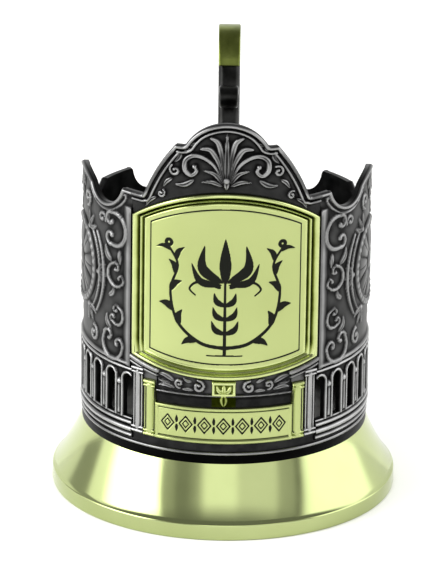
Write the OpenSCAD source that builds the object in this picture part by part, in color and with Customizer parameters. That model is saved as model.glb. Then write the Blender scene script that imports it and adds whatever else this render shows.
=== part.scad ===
// Tea glass holder: a pierced and figured metal sleeve on a flared foot,
// with a brass plate on the front and a cast ear handle at the back.
// Frame: the origin is the centre of the foot's lower rim, +Z is up,
// and the front, where the plate sits, looks along -Y.

/* [Glass] */
// Diameter of the tea glass that slides into the holder
glass_d = 67.4; // [62:0.2:76]
// Gap between the glass and the sleeve, all round
glass_gap = 0.3; // [0.2:0.05:0.6]

/* [Sleeve] */
// Thickness of the rolled sheet
sheet_t = 0.8; // [0.6:0.1:1.2]
// Height of the sleeve's rim beside the front crest, above the floor
front_rim_h = 66.4; // [64:0.1:70]
// Height of the lower rim round the sides and the back, above the floor
back_rim_h = 54.4; // [53:0.1:57]
// How far the front crest stands above the rim beside it
crest_rise = 20.1; // [17:0.1:22]
// Half width of the front crest where it meets the rim
crest_half_w = 19.8; // [17:0.2:21]
// Radius of the round head of the front crest
crest_head_r = 11.4; // [10:0.2:13]
// Radius of the round notches in the rim
notch_r = 7.2; // [5:0.2:8]
// Radius of the round crest on each side
side_crest_r = 18; // [15:0.5:20]
// How far each side crest stands above the lower rim
side_crest_rise = 11.6; // [9:0.1:13]
// Thickness of the relief that is soldered on the sleeve
relief_t = 0.7; // [0.5:0.05:1]

/* [Gallery of slots] */
// Slots in the gallery on each side
slot_count = 12; // [8:1:13]
// Width of a slot
slot_w = 2.9; // [2:0.1:3.4]
// Height of a slot, with its round top
slot_h = 11; // [8:0.5:12]
// Height of the slots' lower ends above the floor
slot_low = 8; // [7:0.5:9]

/* [Front plate] */
// Half width of the plate with its frame, along the sleeve
plate_half_w = 24.2; // [20:0.2:26]
// Height of the plate's lowest point above the floor
plate_low = 21; // [20:0.5:22]
// Height of the plate with its frame, at its middle
plate_h = 48; // [44:0.5:49]
// How far the upper edge drops from the middle to the corners
plate_top_drop = 8.2; // [5:0.2:10]
// How far the lower edge rises from the middle to the corners
plate_low_rise = 3.9; // [2:0.1:5]
// Width of the frame at the sides of the plate
frame_side_w = 4.3; // [3:0.1:5]
// Width of the frame above and below the plate
frame_top_w = 3.1; // [2.4:0.1:4]
// Thickness of the plate's sheet
plate_t = 0.6; // [0.4:0.05:0.8]
// Thickness of the frame
frame_t = 1.2; // [0.9:0.05:1.6]

/* [Name plate] */
// Half width of the small plate under the front plate
name_half_w = 20.2; // [17:0.2:21]
// Height of the small plate
name_h = 9.2; // [7:0.2:9.6]
// Height of its lower edge above the floor
name_low = 4.5; // [4:0.1:5]
// Thickness of the small plate
name_t = 0.9; // [0.6:0.05:1.2]

/* [Foot] */
// Radius of the foot's lower rim
foot_r = 42.5; // [41:0.5:48]
// Height of the foot
foot_h = 17.2; // [15:0.2:20]
// Height of the upright lip at the foot's rim
foot_lip_h = 3.8; // [2.5:0.1:4.5]
// Thickness of the foot's spun sheet
foot_t = 1; // [0.8:0.05:1.3]
// Thickness of the floor that the glass stands on
floor_t = 0.8; // [0.6:0.05:1.2]
// Height of the ring round the sleeve's lower end
ring_h = 3; // [2.6:0.1:3.4]

/* [Handle] */
// How far the middle of the handle's strap stands out from the sleeve
handle_reach = 41; // [36:0.5:46]
// Height of the strap's lowest point above the floor
handle_low = 12; // [11:0.5:14]
// Height from the strap's lowest point to its highest
handle_h = 64.1; // [60:0.1:68]
// Thickness of the handle, across the strap
handle_w = 5.6; // [4.6:0.1:6.4]
// Width of the strap, seen from the side
strap_w = 5; // [4:0.1:6]
// Thickness of the brass thumb rest
thumb_t = 1.4; // [1:0.1:2]

/* [Hidden] */
$fn = 96;

// One overrun serves every cut
cut = 2;

// Where the figures that are raised through the sleeve start, as a share of its radius
facing_start_share = 0.66;

// The small crest over the handle
back_crest_rise = 3.5;
back_crest_r = 11;

// Radii of the sleeve and heights of the main levels
bore_r = glass_d/2 + glass_gap;
sleeve_r = bore_r + sheet_t;
floor_z = foot_h + floor_t;
front_rim_z = floor_z + front_rim_h;
back_rim_z = floor_z + back_rim_h;
crest_z = front_rim_z + crest_rise;
side_crest_z = back_rim_z + side_crest_rise;
back_crest_z = back_rim_z + back_crest_rise;

// The rim's angles, counted round from the front
front_rim_a = 65.5;
notch_a = 57.2;
side_crest_a = 80;
side_notch_a = 109.5;
back_notch_a = 148;
rim_overlap_a = 1;

// How far the notches' centres stand above the rim
notch_rise = 1.8;
side_notch_rise = 4.6;
back_notch_rise = 0.6;

// The front crest: flanks, shoulders and round head
shoulder_share = 0.62;
shoulder_half_w = crest_half_w*shoulder_share;
shoulder_drop = 6;
flank_r = 44;

// Skins of the relief: a thin ground with the figures standing on it
ground_share = 0.36;
ground_t = relief_t*ground_share;
ground_r = sleeve_r + ground_t;
figure_r = sleeve_r + ground_t/2;
relief_r = sleeve_r + relief_t;
border_gap = 0.3;
border_w = 1.1;

// The crest's relief ends beside the front plate, and the side relief goes on to the back seam
crest_end_a = 40;
relief_start_a = 40.5;
relief_end_a = 160;
relief_low = 21.2;

// The round medallion in the side relief, a little behind the side crest's middle
medallion_r = 11.4;
medallion_shift_a = 2;
medallion_a = side_crest_a + medallion_shift_a;
medallion_share = 0.464;
medallion_h = relief_low + (back_rim_h + side_crest_rise - relief_low)*medallion_share;
medallion_ring_w = 1.5;
medallion_petal_count = 8;
medallion_petal_shares = [0.86, 0.34];
medallion_eye_r = 2.1;

// The gallery
gallery_start_a = 41.5;
gallery_end_a = 147;
gallery_edge = 2.2;
gallery_top_share = 0.6;
gallery_edge_a = 3;
arch_w = 0.8;

// The front plate's curved edges, and the small plate's raised edge
plate_step_count = 10;
name_edge_w = 0.9;
name_field_share = 0.6;

// The strip between the two plates, and the clasp over its middle
spray_gap = 0.4;
spray_low = floor_z + name_low + name_h + spray_gap;
spray_top = floor_z + plate_low - spray_gap;
spray_h = spray_top - spray_low;
spray_half_w = 16.8;
clasp_half_w = 2.9;
clasp_t = 1;

// Its volutes and leaves, as shares of its half width and its height
spray_at_share = 0.34;
spray_volute_share = 0.42;
spray_eye_share = 0.2;
spray_leaf_shares = [0.3, 0.6, 0.42];
spray_leaf_a = 82;

// The palmette on the front crest, as shares of the crest's height over the plate
palmette_count = 7;
palmette_spread_a = 150;
palmette_base_share = 0.07;
palmette_reach_share = 0.74;
palmette_petal_share = 0.15;
palmette_fall_share = 0.34;
palmette_eye_share = 0.75;

// A scroll and a leaf on each side of it: how far out, how high, how large
crest_scroll_shares = [0.48, 0.29, 0.16];
crest_scroll_a = 60;
crest_leaf_shares = [0.82, 0.02, 0.32, 0.11];
crest_leaf_a = 48;

// A scroll like a letter C, as shares of its radius and of its stem
scroll_stem_share = 0.34;
scroll_open_share = 1.15;
scroll_wall_share = 0.7;
scroll_small_share = 0.8;
scroll_horn_a = 52;

// The small posts beside the name plate
console_w = 2.6;
console_cap_w = 3.4;
console_cap_h = 1.4;
console_gap = 0.3;
console_drop = 0.4;
console_a = turn(name_half_w + console_gap + console_cap_w/2);

// The foot's flange has a raised seat that the sleeve stands on, and the floor lies inside it
floor_gap = 0.1;
seat_w = 2;
seat_r = bore_r - seat_w;
floor_r = seat_r - floor_gap;

// The base ring and its bead
ring_t = 0.45;
bead_r = 0.45;

// The foot's profile
foot_top_r = sleeve_r + ring_t;
foot_flange_r = 22;
foot_edge = 0.6;
foot_curve_share = [0.36, 0.54];
foot_hem_share = 0.3;
foot_step_count = 10;

// The rivets that hold the floor on the foot's flange
floor_rivet_r = 1.3;
floor_rivet_head_r = 2.4;
floor_rivet_head_h = 0.9;
floor_rivet_at = 28;
floor_rivet_count = 3;

// The pads that carry the handle, on the seam strip
seam_half_w = 7.8;
seam_t = 0.4;
seam_r = sleeve_r + seam_t;
pad_half_w = 6.2;
pad_h = 12;
pad_t = 1.2;
pad_r = seam_r + pad_t;
upper_pad_share = 0.5;
pad_low_share = 0.1;
rivet_r = 0.8;
rivet_head_r = 1.25;
rivet_head_h = 0.6;
rivet_at_w = 4.5;
rivet_end_gap = 0.1;

// The strap's path, as shares of its reach and its height
handle_path_shares = [
    [0.01, 0.50], [0.13, 0.57], [0.30, 0.72], [0.44, 0.88], [0.61, 0.995],
    [0.81, 0.96], [0.95, 0.81], [1.00, 0.58], [0.93, 0.34], [0.74, 0.14],
    [0.42, 0.02], [0.13, 0.00], [0.01, 0.02]
];
path_step_count = 4;

// The thumb rest and the two curls, by their share of the strap's path
thumb_start_share = 0.27;
thumb_end_share = 0.458;
tail_curl_share = 0.79;
upper_curl_share = 0.21;
curl_r = 4.2;
curl_eye_r = 1.5;
curl_sink = 0.9;

// Points and arcs

// The centre of a circle of radius r through p and q, on the left of p to q
function arc_centre(p, q, r) =
    let (way = (q - p)/norm(q - p), half = norm(q - p)/2)
    (p + q)/2 + [-way[1], way[0]]*sqrt(r*r - half*half);

// A point on the smooth curve through four points, between the middle two
function curve_point(a, b, c, d, t) =
    0.5*(2*b + (c - a)*t + (2*a - 5*b + 4*c - d)*t*t + (3*b - a - 3*c + d)*t*t*t);

// A smooth curve through a list of points
function curve(points, steps) = [
    for (i = [0:len(points) - 2], k = [0:steps - 1])
        curve_point(points[max(i - 1, 0)], points[i], points[i + 1],
                    points[min(i + 2, len(points) - 1)], k/steps),
    points[len(points) - 1]
];

// The way along a path at its point i
function along(path, i) =
    let (a = path[max(i - 1, 0)], b = path[min(i + 1, len(path) - 1)])
    (b - a)/norm(b - a);

// A path shifted sideways, to its left
function beside(path, gap) = [
    for (i = [0:len(path) - 1]) path[i] + [-along(path, i)[1], along(path, i)[0]]*gap
];

function backwards(points) = [for (i = [len(points) - 1:-1:0]) points[i]];

// The place in a list that lies at a share of its length
function place(points, share) = round(share*(len(points) - 1));

function part_of(points, from_share, to_share) = [
    for (i = [place(points, from_share):place(points, to_share)]) points[i]
];

// A length along the sleeve's surface, turned into an angle
function turn(length) = length/sleeve_r*180/PI;

// Bodies round the sleeve

// A ring with its inner and outer radius, between two heights
module ring(r_in, r_out, low, high) {
    translate([0, 0, low]) difference() {
        cylinder(h = high - low, r = r_out);
        translate([0, 0, -cut]) cylinder(h = high - low + 2*cut, r = r_in);
    }
}

// A piece of such a ring between two angles, counted from the front
module ring_piece(r_in, r_out, low, high, from_a, to_a) {
    rotate([0, 0, from_a - 90]) rotate_extrude(angle = to_a - from_a)
        translate([r_in, low]) square([r_out - r_in, high - low]);
}

// Raises a flat figure outwards through the sleeve, at an angle from the front
module facing(angle) {
    start = bore_r*facing_start_share;
    rotate([0, 0, angle]) translate([0, -start, 0]) rotate([90, 0, 0])
        linear_extrude(height = relief_r + cut - start) children();
}

// Keeps of the raised figures what lies in a skin on the sleeve
module skin(r_in, r_out, low, high) {
    intersection() {
        ring(r_in, r_out, low, high);
        children();
    }
}

// The rim

// The outline of the front crest, drawn in by a margin
module crest_outline(margin) {
    foot_point = [crest_half_w - margin, front_rim_z - margin];
    shoulder = [shoulder_half_w - margin, crest_z - shoulder_drop - margin];
    centre = arc_centre(foot_point, shoulder, flank_r);
    intersection() {
        translate(centre) circle(r = flank_r);
        translate([-centre[0], centre[1]]) circle(r = flank_r);
        translate([-sleeve_r, floor_z]) square([2*sleeve_r, shoulder[1] - floor_z]);
    }
    translate([0, crest_z - crest_head_r]) circle(r = crest_head_r - margin);
}

// A round crest on the lower rim
module round_crest(radius, top, margin) {
    translate([0, top - radius]) circle(r = radius - margin);
}

module round_notch(level, margin) {
    translate([0, level]) circle(r = notch_r + margin);
}

// All that is cut away above the rim, with the rim drawn in by a margin
module above_rim(margin) {
    r_in = bore_r - cut;
    r_out = relief_r + cut/2;
    high = crest_z + cut;
    difference() {
        ring_piece(r_in, r_out, front_rim_z - margin, high,
                   -front_rim_a - rim_overlap_a, front_rim_a + rim_overlap_a);
        facing(0) crest_outline(margin);
    }
    difference() {
        ring_piece(r_in, r_out, back_rim_z - margin, high, front_rim_a, 360 - front_rim_a);
        for (side = [-1, 1])
            facing(side*side_crest_a) round_crest(side_crest_r, side_crest_z, margin);
        facing(180) round_crest(back_crest_r, back_crest_z, margin);
    }
    for (side = [-1, 1]) {
        facing(side*notch_a) round_notch(front_rim_z + notch_rise, margin);
        facing(side*side_notch_a) round_notch(back_rim_z + side_notch_rise, margin);
        facing(side*back_notch_a) round_notch(back_rim_z + back_notch_rise, margin);
    }
}

// Figures of the relief

// A leaf between two arcs, standing on the origin
module petal(length, width) {
    r = (length*length + width*width)/(4*width);
    translate([0, length/2]) intersection() {
        translate([r - width/2, 0]) circle(r = r);
        translate([width/2 - r, 0]) circle(r = r);
    }
}

// A scroll open to the right, with an eye at each horn
module c_scroll(radius) {
    stem = radius*scroll_stem_share;
    small = stem*scroll_small_share;
    difference() {
        circle(r = radius);
        translate([stem*scroll_open_share, 0]) circle(r = radius - stem*scroll_wall_share);
    }
    rotate(-scroll_horn_a) translate([radius - stem, 0]) circle(r = stem);
    rotate(scroll_horn_a) translate([radius - small, 0]) circle(r = small);
}

// A fan of petals over an eye
module palmette(length, width, count, spread) {
    for (i = [0:count - 1]) {
        angle = (i/(count - 1) - 0.5)*spread;
        reach = length*(1 - palmette_fall_share*abs(angle)/(spread/2));
        rotate(-angle) petal(reach, width);
    }
    circle(r = width*palmette_eye_share);
}

// Slots

function slot_angle(i) =
    gallery_start_a + (gallery_end_a - gallery_start_a)*i/(slot_count - 1);

// A slot with a round top, made wider all round by a margin
module slot_outline(margin) {
    r = slot_w/2 + margin;
    low = floor_z + slot_low - margin;
    top = floor_z + slot_low + slot_h - slot_w/2;
    translate([-r, low]) square([2*r, top - low]);
    translate([0, top]) circle(r = r);
}

// Pieces

module sleeve() {
    color("dimgray") difference() {
        ring(bore_r, sleeve_r, floor_z, crest_z);
        above_rim(0);
        for (side = [-1, 1], i = [0:slot_count - 1])
            facing(side*slot_angle(i)) slot_outline(0);
        handle_rivet_places() rivet_shank(cut);
    }
}

module seam_strip() {
    half_a = turn(seam_half_w);
    color("gray") difference() {
        ring_piece(sleeve_r, seam_r, floor_z + ring_h, back_rim_z, 180 - half_a, 180 + half_a);
        handle_rivet_places() rivet_shank(cut);
    }
}

module base_ring() {
    color([0.2, 0.2, 0.2]) difference() {
        rotate_extrude() {
            translate([sleeve_r - cut, foot_h])
                square([cut + ring_t, ring_h - bead_r]);
            translate([sleeve_r + bead_r/2, foot_h + ring_h - bead_r]) circle(r = bead_r);
        }
        translate([0, 0, -cut]) cylinder(h = crest_z, r = sleeve_r);
    }
}

module floor_disc() {
    color("gray") difference() {
        translate([0, 0, foot_h]) cylinder(h = floor_t, r = floor_r);
        floor_rivet_places() translate([0, 0, foot_h - cut])
            cylinder(h = floor_t + 2*cut, r = floor_rivet_r);
    }
}

module floor_rivet_places() {
    for (i = [0:floor_rivet_count - 1])
        rotate([0, 0, 360*i/floor_rivet_count]) translate([floor_rivet_at, 0, 0]) children();
}

module floor_rivets() {
    color("silver") floor_rivet_places() {
        translate([0, 0, foot_h - foot_t]) cylinder(h = foot_t + floor_t, r = floor_rivet_r);
        translate([0, 0, foot_h - foot_t - floor_rivet_head_h])
            cylinder(h = floor_rivet_head_h, r1 = floor_rivet_r, r2 = floor_rivet_head_r);
    }
}

// A point of the foot's flare, t from 0 at its top to 1 at the lip
function flare_point(t, inset) =
    let (top = [foot_top_r, foot_h],
         low = [foot_r - foot_edge, foot_lip_h + foot_edge],
         bend = [top[0] + (low[0] - top[0])*foot_curve_share[0],
                 top[1] + (low[1] - top[1])*foot_curve_share[1]],
         way = 2*(1 - t)*(bend - top) + 2*t*(low - bend),
         at = (1 - t)*(1 - t)*top + 2*t*(1 - t)*bend + t*t*low)
    at + [way[1], -way[0]]/norm(way)*inset;

module foot() {
    outer = [for (i = [0:foot_step_count]) flare_point(i/foot_step_count, 0)];
    inner = [for (i = [1:foot_step_count]) flare_point(i/foot_step_count, foot_t)];
    color([0.75, 0.8, 0.53]) difference() {
        rotate_extrude() polygon(concat(
            [[foot_flange_r, foot_h], [seat_r, foot_h], [seat_r, floor_z],
             [sleeve_r, floor_z], [sleeve_r, foot_h]],
            outer,
            [[foot_r, foot_lip_h], [foot_r, 0], [foot_r - foot_t, 0],
             [foot_r - foot_t, foot_lip_h - foot_t*foot_hem_share]],
            backwards(inner),
            [[foot_top_r - foot_t, foot_h - foot_t], [foot_flange_r, foot_h - foot_t]]));
        floor_rivet_places() cylinder(h = foot_h + cut, r = floor_rivet_r);
    }
}

// The outline of the front plate, drawn in at its sides and at its ends
module plate_outline(side_in, end_in) {
    half_a = turn(plate_half_w - side_in);
    middle = floor_z + plate_low;
    top = [for (i = [-plate_step_count:plate_step_count])
        let (a = half_a*i/plate_step_count, share = a/turn(plate_half_w))
        [sleeve_r*sin(a), middle + plate_h - end_in - plate_top_drop*share*share]];
    low = [for (i = [-plate_step_count:plate_step_count])
        let (a = half_a*i/plate_step_count, share = a/turn(plate_half_w))
        [sleeve_r*sin(a), middle + end_in + plate_low_rise*share*share]];
    polygon(concat(top, backwards(low)));
}

module front_plate() {
    color([0.75, 0.8, 0.53]) skin(sleeve_r, sleeve_r + plate_t, floor_z, crest_z)
        facing(0) plate_outline(frame_side_w, frame_top_w);
}

module plate_frame() {
    color([0.7, 0.74, 0.45]) skin(sleeve_r, sleeve_r + frame_t, floor_z, crest_z)
        facing(0) difference() {
            plate_outline(0, 0);
            plate_outline(frame_side_w, frame_top_w);
        }
}

module name_plate() {
    low = floor_z + name_low;
    half_a = turn(name_half_w);
    edge_a = turn(name_edge_w);
    color([0.75, 0.8, 0.53]) {
        ring_piece(sleeve_r, sleeve_r + name_t*name_field_share,
                   low, low + name_h, -half_a, half_a);
        difference() {
            ring_piece(sleeve_r, sleeve_r + name_t, low, low + name_h, -half_a, half_a);
            ring_piece(sleeve_r, sleeve_r + name_t + cut, low + name_edge_w,
                       low + name_h - name_edge_w, edge_a - half_a, half_a - edge_a);
        }
    }
}

// The strip of scrolls and leaves between the two plates
module lower_spray() {
    middle = (spray_low + spray_top)/2;
    half_a = turn(spray_half_w);
    color("dimgray") {
        ring_piece(sleeve_r, ground_r, spray_low, spray_top, -half_a, half_a);
        skin(sleeve_r, relief_r, spray_low, spray_top) facing(0)
            for (side = [-1, 1]) translate([side*spray_half_w*spray_at_share, middle]) {
                difference() {
                    circle(r = spray_h*spray_volute_share);
                    circle(r = spray_h*spray_eye_share);
                }
                rotate(-side*spray_leaf_a) translate([0, spray_h*spray_leaf_shares[0]])
                    petal(spray_half_w*spray_leaf_shares[1], spray_h*spray_leaf_shares[2]);
            }
    }
}

module plate_clasp() {
    half_a = turn(clasp_half_w);
    color([0.7, 0.74, 0.45])
        ring_piece(ground_r, ground_r + clasp_t, spray_low, spray_top, -half_a, half_a);
}

// The small post beside the name plate
module console(side) {
    low = floor_z + name_low;
    top = floor_z + plate_low - console_drop;
    color("silver") skin(sleeve_r, sleeve_r + name_t, low, top + console_cap_h)
        facing(side*console_a) {
            translate([-console_w/2, low]) square([console_w, top - low]);
            for (z = [low, top - console_cap_h]) translate([-console_cap_w/2, z])
                square([console_cap_w, console_cap_h]);
        }
}

module left_console() { console(-1); }
module right_console() { console(1); }

// What the crest's relief covers: the crest and the strip of rim over the front plate
module crest_field(margin) {
    low = front_rim_z - plate_top_drop;
    half_w = sleeve_r*sin(crest_end_a) - margin;
    difference() {
        union() {
            intersection() {
                crest_outline(margin);
                translate([-half_w, low]) square([2*half_w, crest_z - low]);
            }
            translate([-half_w, low]) square([2*half_w, front_rim_z - margin - low]);
        }
        plate_outline(-border_gap, -border_gap);
    }
}

// Its ornament, standing on the middle of the front plate's upper edge
module crest_ornament() {
    middle = floor_z + plate_low + plate_h;
    reach = crest_z - middle;
    translate([0, middle + reach*palmette_base_share])
        palmette(reach*palmette_reach_share, reach*palmette_petal_share,
                 palmette_count, palmette_spread_a);
    for (side = [-1, 1]) {
        translate([side*reach*crest_scroll_shares[0], middle + reach*crest_scroll_shares[1]])
            rotate(90 + side*crest_scroll_a) c_scroll(reach*crest_scroll_shares[2]);
        translate([side*reach*crest_leaf_shares[0], middle + reach*crest_leaf_shares[1]])
            rotate(side*crest_leaf_a)
                petal(reach*crest_leaf_shares[2], reach*crest_leaf_shares[3]);
    }
}

// The crest's relief: a thin ground, a raised border and the ornament
module crest_palmette() {
    color("gray") difference() {
        union() {
            skin(sleeve_r, ground_r, floor_z, crest_z) facing(0) crest_field(0);
            skin(figure_r, relief_r, floor_z, crest_z) facing(0) {
                difference() {
                    crest_field(0);
                    crest_field(border_gap + border_w);
                }
                intersection() {
                    crest_field(border_gap);
                    crest_ornament();
                }
            }
        }
        above_rim(border_gap);
    }
}

// The side relief's scrolls: angle from the front, then height and radius as shares of
// the relief's height, then the way the scroll is turned
side_scroll_shares = [
    [50.5, 0.92, 0.127, 180], [50, 0.64, 0.092, 20], [49.5, 0.40, 0.080, 160],
    [51.5, 0.13, 0.127, 0], [60.5, 0.50, 0.071, 200], [112, 0.62, 0.127, 200],
    [122, 0.30, 0.107, 20], [112, 0.12, 0.089, 160], [132, 0.64, 0.095, 0],
    [134, 0.20, 0.089, 180]
];

// The side relief: a thin ground, a raised border along its rim and its lower edge, and scrolls
module side_relief() {
    low = floor_z + relief_low;
    tall = back_rim_z - low;
    difference() {
        union() {
            ring_piece(sleeve_r, ground_r, low, crest_z, relief_start_a, relief_end_a);
            difference() {
                ring_piece(figure_r, relief_r, low, crest_z, relief_start_a, relief_end_a);
                difference() {
                    ring(sleeve_r - cut, relief_r + cut, low + border_w, crest_z + cut);
                    above_rim(border_gap + border_w);
                }
            }
            skin(figure_r, relief_r, low, crest_z)
                for (scroll = side_scroll_shares)
                    facing(scroll[0]) translate([0, low + tall*scroll[1]])
                        rotate(scroll[3]) c_scroll(tall*scroll[2]);
        }
        above_rim(border_gap);
        facing(medallion_a) translate([0, floor_z + medallion_h])
            circle(r = medallion_r);
    }
}

module left_side_relief() { color("gray") mirror([1, 0, 0]) side_relief(); }
module right_side_relief() { color("gray") side_relief(); }

// The round medallion, with a rosette in a raised ring
module medallion() {
    low = floor_z + medallion_h - medallion_r;
    ring_in = medallion_r - medallion_ring_w;
    skin(sleeve_r, ground_r, low, low + 2*medallion_r)
        facing(medallion_a) translate([0, floor_z + medallion_h]) circle(r = medallion_r);
    skin(sleeve_r, relief_r, low, low + 2*medallion_r)
        facing(medallion_a) translate([0, floor_z + medallion_h]) {
            difference() {
                circle(r = medallion_r);
                circle(r = ring_in);
            }
            for (i = [0:medallion_petal_count - 1])
                rotate(360*i/medallion_petal_count)
                    petal(ring_in*medallion_petal_shares[0], ring_in*medallion_petal_shares[1]);
            circle(r = medallion_eye_r);
        }
}

module left_medallion() { color("silver") mirror([1, 0, 0]) medallion(); }
module right_medallion() { color("silver") medallion(); }

// The gallery strip, with a raised arch round each slot
module gallery() {
    low = floor_z + slot_low - gallery_edge;
    top = floor_z + slot_low + slot_h + gallery_edge*gallery_top_share;
    difference() {
        union() {
            ring_piece(sleeve_r, ground_r, low, top,
                       console_a + turn(console_cap_w/2 + console_gap),
                       gallery_end_a + gallery_edge_a);
            skin(sleeve_r, relief_r, low, top)
                for (i = [0:slot_count - 1]) facing(slot_angle(i)) slot_outline(arch_w);
        }
        for (i = [0:slot_count - 1]) facing(slot_angle(i)) slot_outline(0);
    }
}

module left_gallery() { color("gray") mirror([1, 0, 0]) gallery(); }
module right_gallery() { color("gray") gallery(); }

// The handle

// A point beside the sleeve, from shares of the handle's reach and height
function handle_point(shares) = [
    sleeve_r + handle_reach*shares[0], floor_z + handle_low + handle_h*shares[1]
];
handle_path = curve([for (shares = handle_path_shares) handle_point(shares)], path_step_count);
upper_pad_z = floor_z + handle_low + handle_h*upper_pad_share;
lower_pad_z = floor_z + handle_low + pad_h*pad_low_share;

// Stands a side view up, middled on the holder's centre plane
module upright(width) {
    translate([width/2, 0, 0]) rotate([90, 0, -90]) mirror([1, 0, 0])
        linear_extrude(height = width) children();
}

// A curl that springs from the strap's outer side
module curl(share) {
    centres = beside(handle_path, strap_w/2 + curl_r - curl_sink);
    translate(centres[place(handle_path, share)]) difference() {
        circle(r = curl_r);
        circle(r = curl_eye_r);
    }
}

module pad(middle) {
    skin(seam_r, pad_r, middle - pad_h/2, middle + pad_h/2)
        facing(180) translate([-pad_half_w, middle - pad_h/2]) square([2*pad_half_w, pad_h]);
}

module handle() {
    color([0.15, 0.15, 0.15]) difference() {
        union() {
            difference() {
                upright(handle_w) {
                    polygon(concat(beside(handle_path, strap_w/2),
                                   backwards(beside(handle_path, -strap_w/2))));
                    curl(tail_curl_share);
                    curl(upper_curl_share);
                }
                cylinder(h = 2*crest_z, r = seam_r);
            }
            pad(upper_pad_z);
            pad(lower_pad_z);
        }
        handle_rivet_places() rivet_shank(cut);
    }
}

module thumb_rest() {
    seat = part_of(beside(handle_path, strap_w/2), thumb_start_share, thumb_end_share);
    top = part_of(beside(handle_path, strap_w/2 + thumb_t),
                  thumb_start_share, thumb_end_share);
    color([0.6, 0.62, 0.3]) upright(handle_w) polygon(concat(top, backwards(seat)));
}

// Two rivets in each pad, one on each side of the strap
module handle_rivet_places() {
    for (side = [-1, 1], z = [upper_pad_z, lower_pad_z])
        rotate([0, 0, 180 + side*turn(rivet_at_w)]) translate([0, 0, z]) children();
}

// The shank from just outside the bore to the pad's face, and past it
module rivet_shank(past) {
    start = bore_r + rivet_end_gap - past;
    translate([0, -start, 0]) rotate([90, 0, 0]) cylinder(h = pad_r + past - start, r = rivet_r);
}

module handle_rivets() {
    color("silver") handle_rivet_places() {
        rivet_shank(0);
        translate([0, -pad_r, 0]) rotate([90, 0, 0])
            cylinder(h = rivet_head_h, r1 = rivet_head_r, r2 = rivet_r);
    }
}

sleeve();
seam_strip();
base_ring();
floor_disc();
floor_rivets();
foot();
front_plate();
plate_frame();
name_plate();
plate_clasp();
lower_spray();
left_console();
right_console();
crest_palmette();
left_side_relief();
right_side_relief();
left_medallion();
right_medallion();
left_gallery();
right_gallery();
handle();
thumb_rest();
handle_rivets();
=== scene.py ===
# %% [markdown]
# # A tea glass holder of blackened nickel silver and polished brass
# The real object is a rolled metal sleeve on a spun brass foot. Chased ornament covers the
# sleeve, a brass plate sits on its front, and a cast handle rises behind.
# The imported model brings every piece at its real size. This lesson gives each piece its
# worked surface: relief as sculpted skins, mouldings as swept and turned profiles.

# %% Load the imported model
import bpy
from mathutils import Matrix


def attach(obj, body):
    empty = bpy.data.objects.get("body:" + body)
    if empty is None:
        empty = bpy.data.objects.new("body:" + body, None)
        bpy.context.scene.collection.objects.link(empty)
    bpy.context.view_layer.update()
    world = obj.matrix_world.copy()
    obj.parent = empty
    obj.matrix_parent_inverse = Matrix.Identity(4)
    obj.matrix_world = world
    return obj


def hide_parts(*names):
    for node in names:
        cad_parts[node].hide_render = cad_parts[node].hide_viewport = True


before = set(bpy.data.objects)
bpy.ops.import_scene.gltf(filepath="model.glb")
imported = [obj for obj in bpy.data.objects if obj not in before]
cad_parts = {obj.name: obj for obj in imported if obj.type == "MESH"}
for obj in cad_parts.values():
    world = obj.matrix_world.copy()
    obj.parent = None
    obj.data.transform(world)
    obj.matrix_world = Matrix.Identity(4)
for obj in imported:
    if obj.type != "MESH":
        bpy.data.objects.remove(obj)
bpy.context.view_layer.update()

import copy
import math

import bpy
import numpy as np
from mathutils import Matrix, Vector

print("nodes in the packed model:", len(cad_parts))

# %% [markdown]
# ## Sizes
# All sizes are in millimetres, as on a workshop drawing, and are turned to Blender's metres
# only when a mesh is made. Heights count from the table, and a place on the sleeve is given
# by its distance along the surface from the middle of the front, so a flat drawing can be
# wrapped round the metal.

# %% Main sizes in millimetres
MM = 0.001
BORE_R = 34.0
SLEEVE_R = 34.8
WRAP_R = 35.0
FLOOR_Z = 18.0
FRONT_RIM_Z = 84.4
BACK_RIM_Z = 72.4
CREST_Z = 104.5


def angle_of(along):
    """The angle from the front, in radians, of a distance along the sleeve."""
    return along / WRAP_R


def along_at(degrees):
    """The distance along the sleeve of an angle from the front."""
    return math.radians(degrees) * WRAP_R


def wrap(radius, along, high):
    """Points on the sleeve from a radius, a distance along and a height."""
    turn = angle_of(along)
    return np.stack([radius * np.sin(turn), -radius * np.cos(turn), high], axis=-1)


print("a quarter turn is", round(along_at(90), 1), "mm of sleeve")

# %% [markdown]
# ## Making meshes
# Most shapes here follow a curved and pierced sleeve. They could be modelled by hand or cut
# with booleans, but lists of points and faces keep every edge exactly where the real one is.
# Two functions turn such lists into an object on the frame's body and shade it smooth up to
# a sharp-edge angle, which keeps the crisp corners of cut sheet.

# %% From points and faces to a piece
def add_piece(name, mesh, slot, node, sharp):
    """Puts a mesh on the body in place of a node; edges above the sharp angle stay crisp."""
    mesh.shade_smooth()
    mesh.set_sharp_from_angle(angle=math.radians(sharp))
    piece = bpy.data.objects.new(name, mesh)
    bpy.context.collection.objects.link(piece)
    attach(piece, "root")
    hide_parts(node)
    print(f"{name}: {len(mesh.vertices)} points, {len(mesh.polygons)} faces")


def make_piece(name, points, faces, material, slot, node, sharp=38.0, **values):
    """One closed piece from points in millimetres; values are numbers kept on its points."""
    mesh = bpy.data.meshes.new(name)
    mesh.from_pydata([tuple(p) for p in np.asarray(points, float) * MM], [], faces)
    for label, numbers in values.items():
        layer = mesh.attributes.new(label, "FLOAT", "POINT")
        layer.data.foreach_set("value", np.asarray(numbers, np.float32))
    mesh.materials.append(material)
    add_piece(name, mesh, slot, node, sharp)


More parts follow.
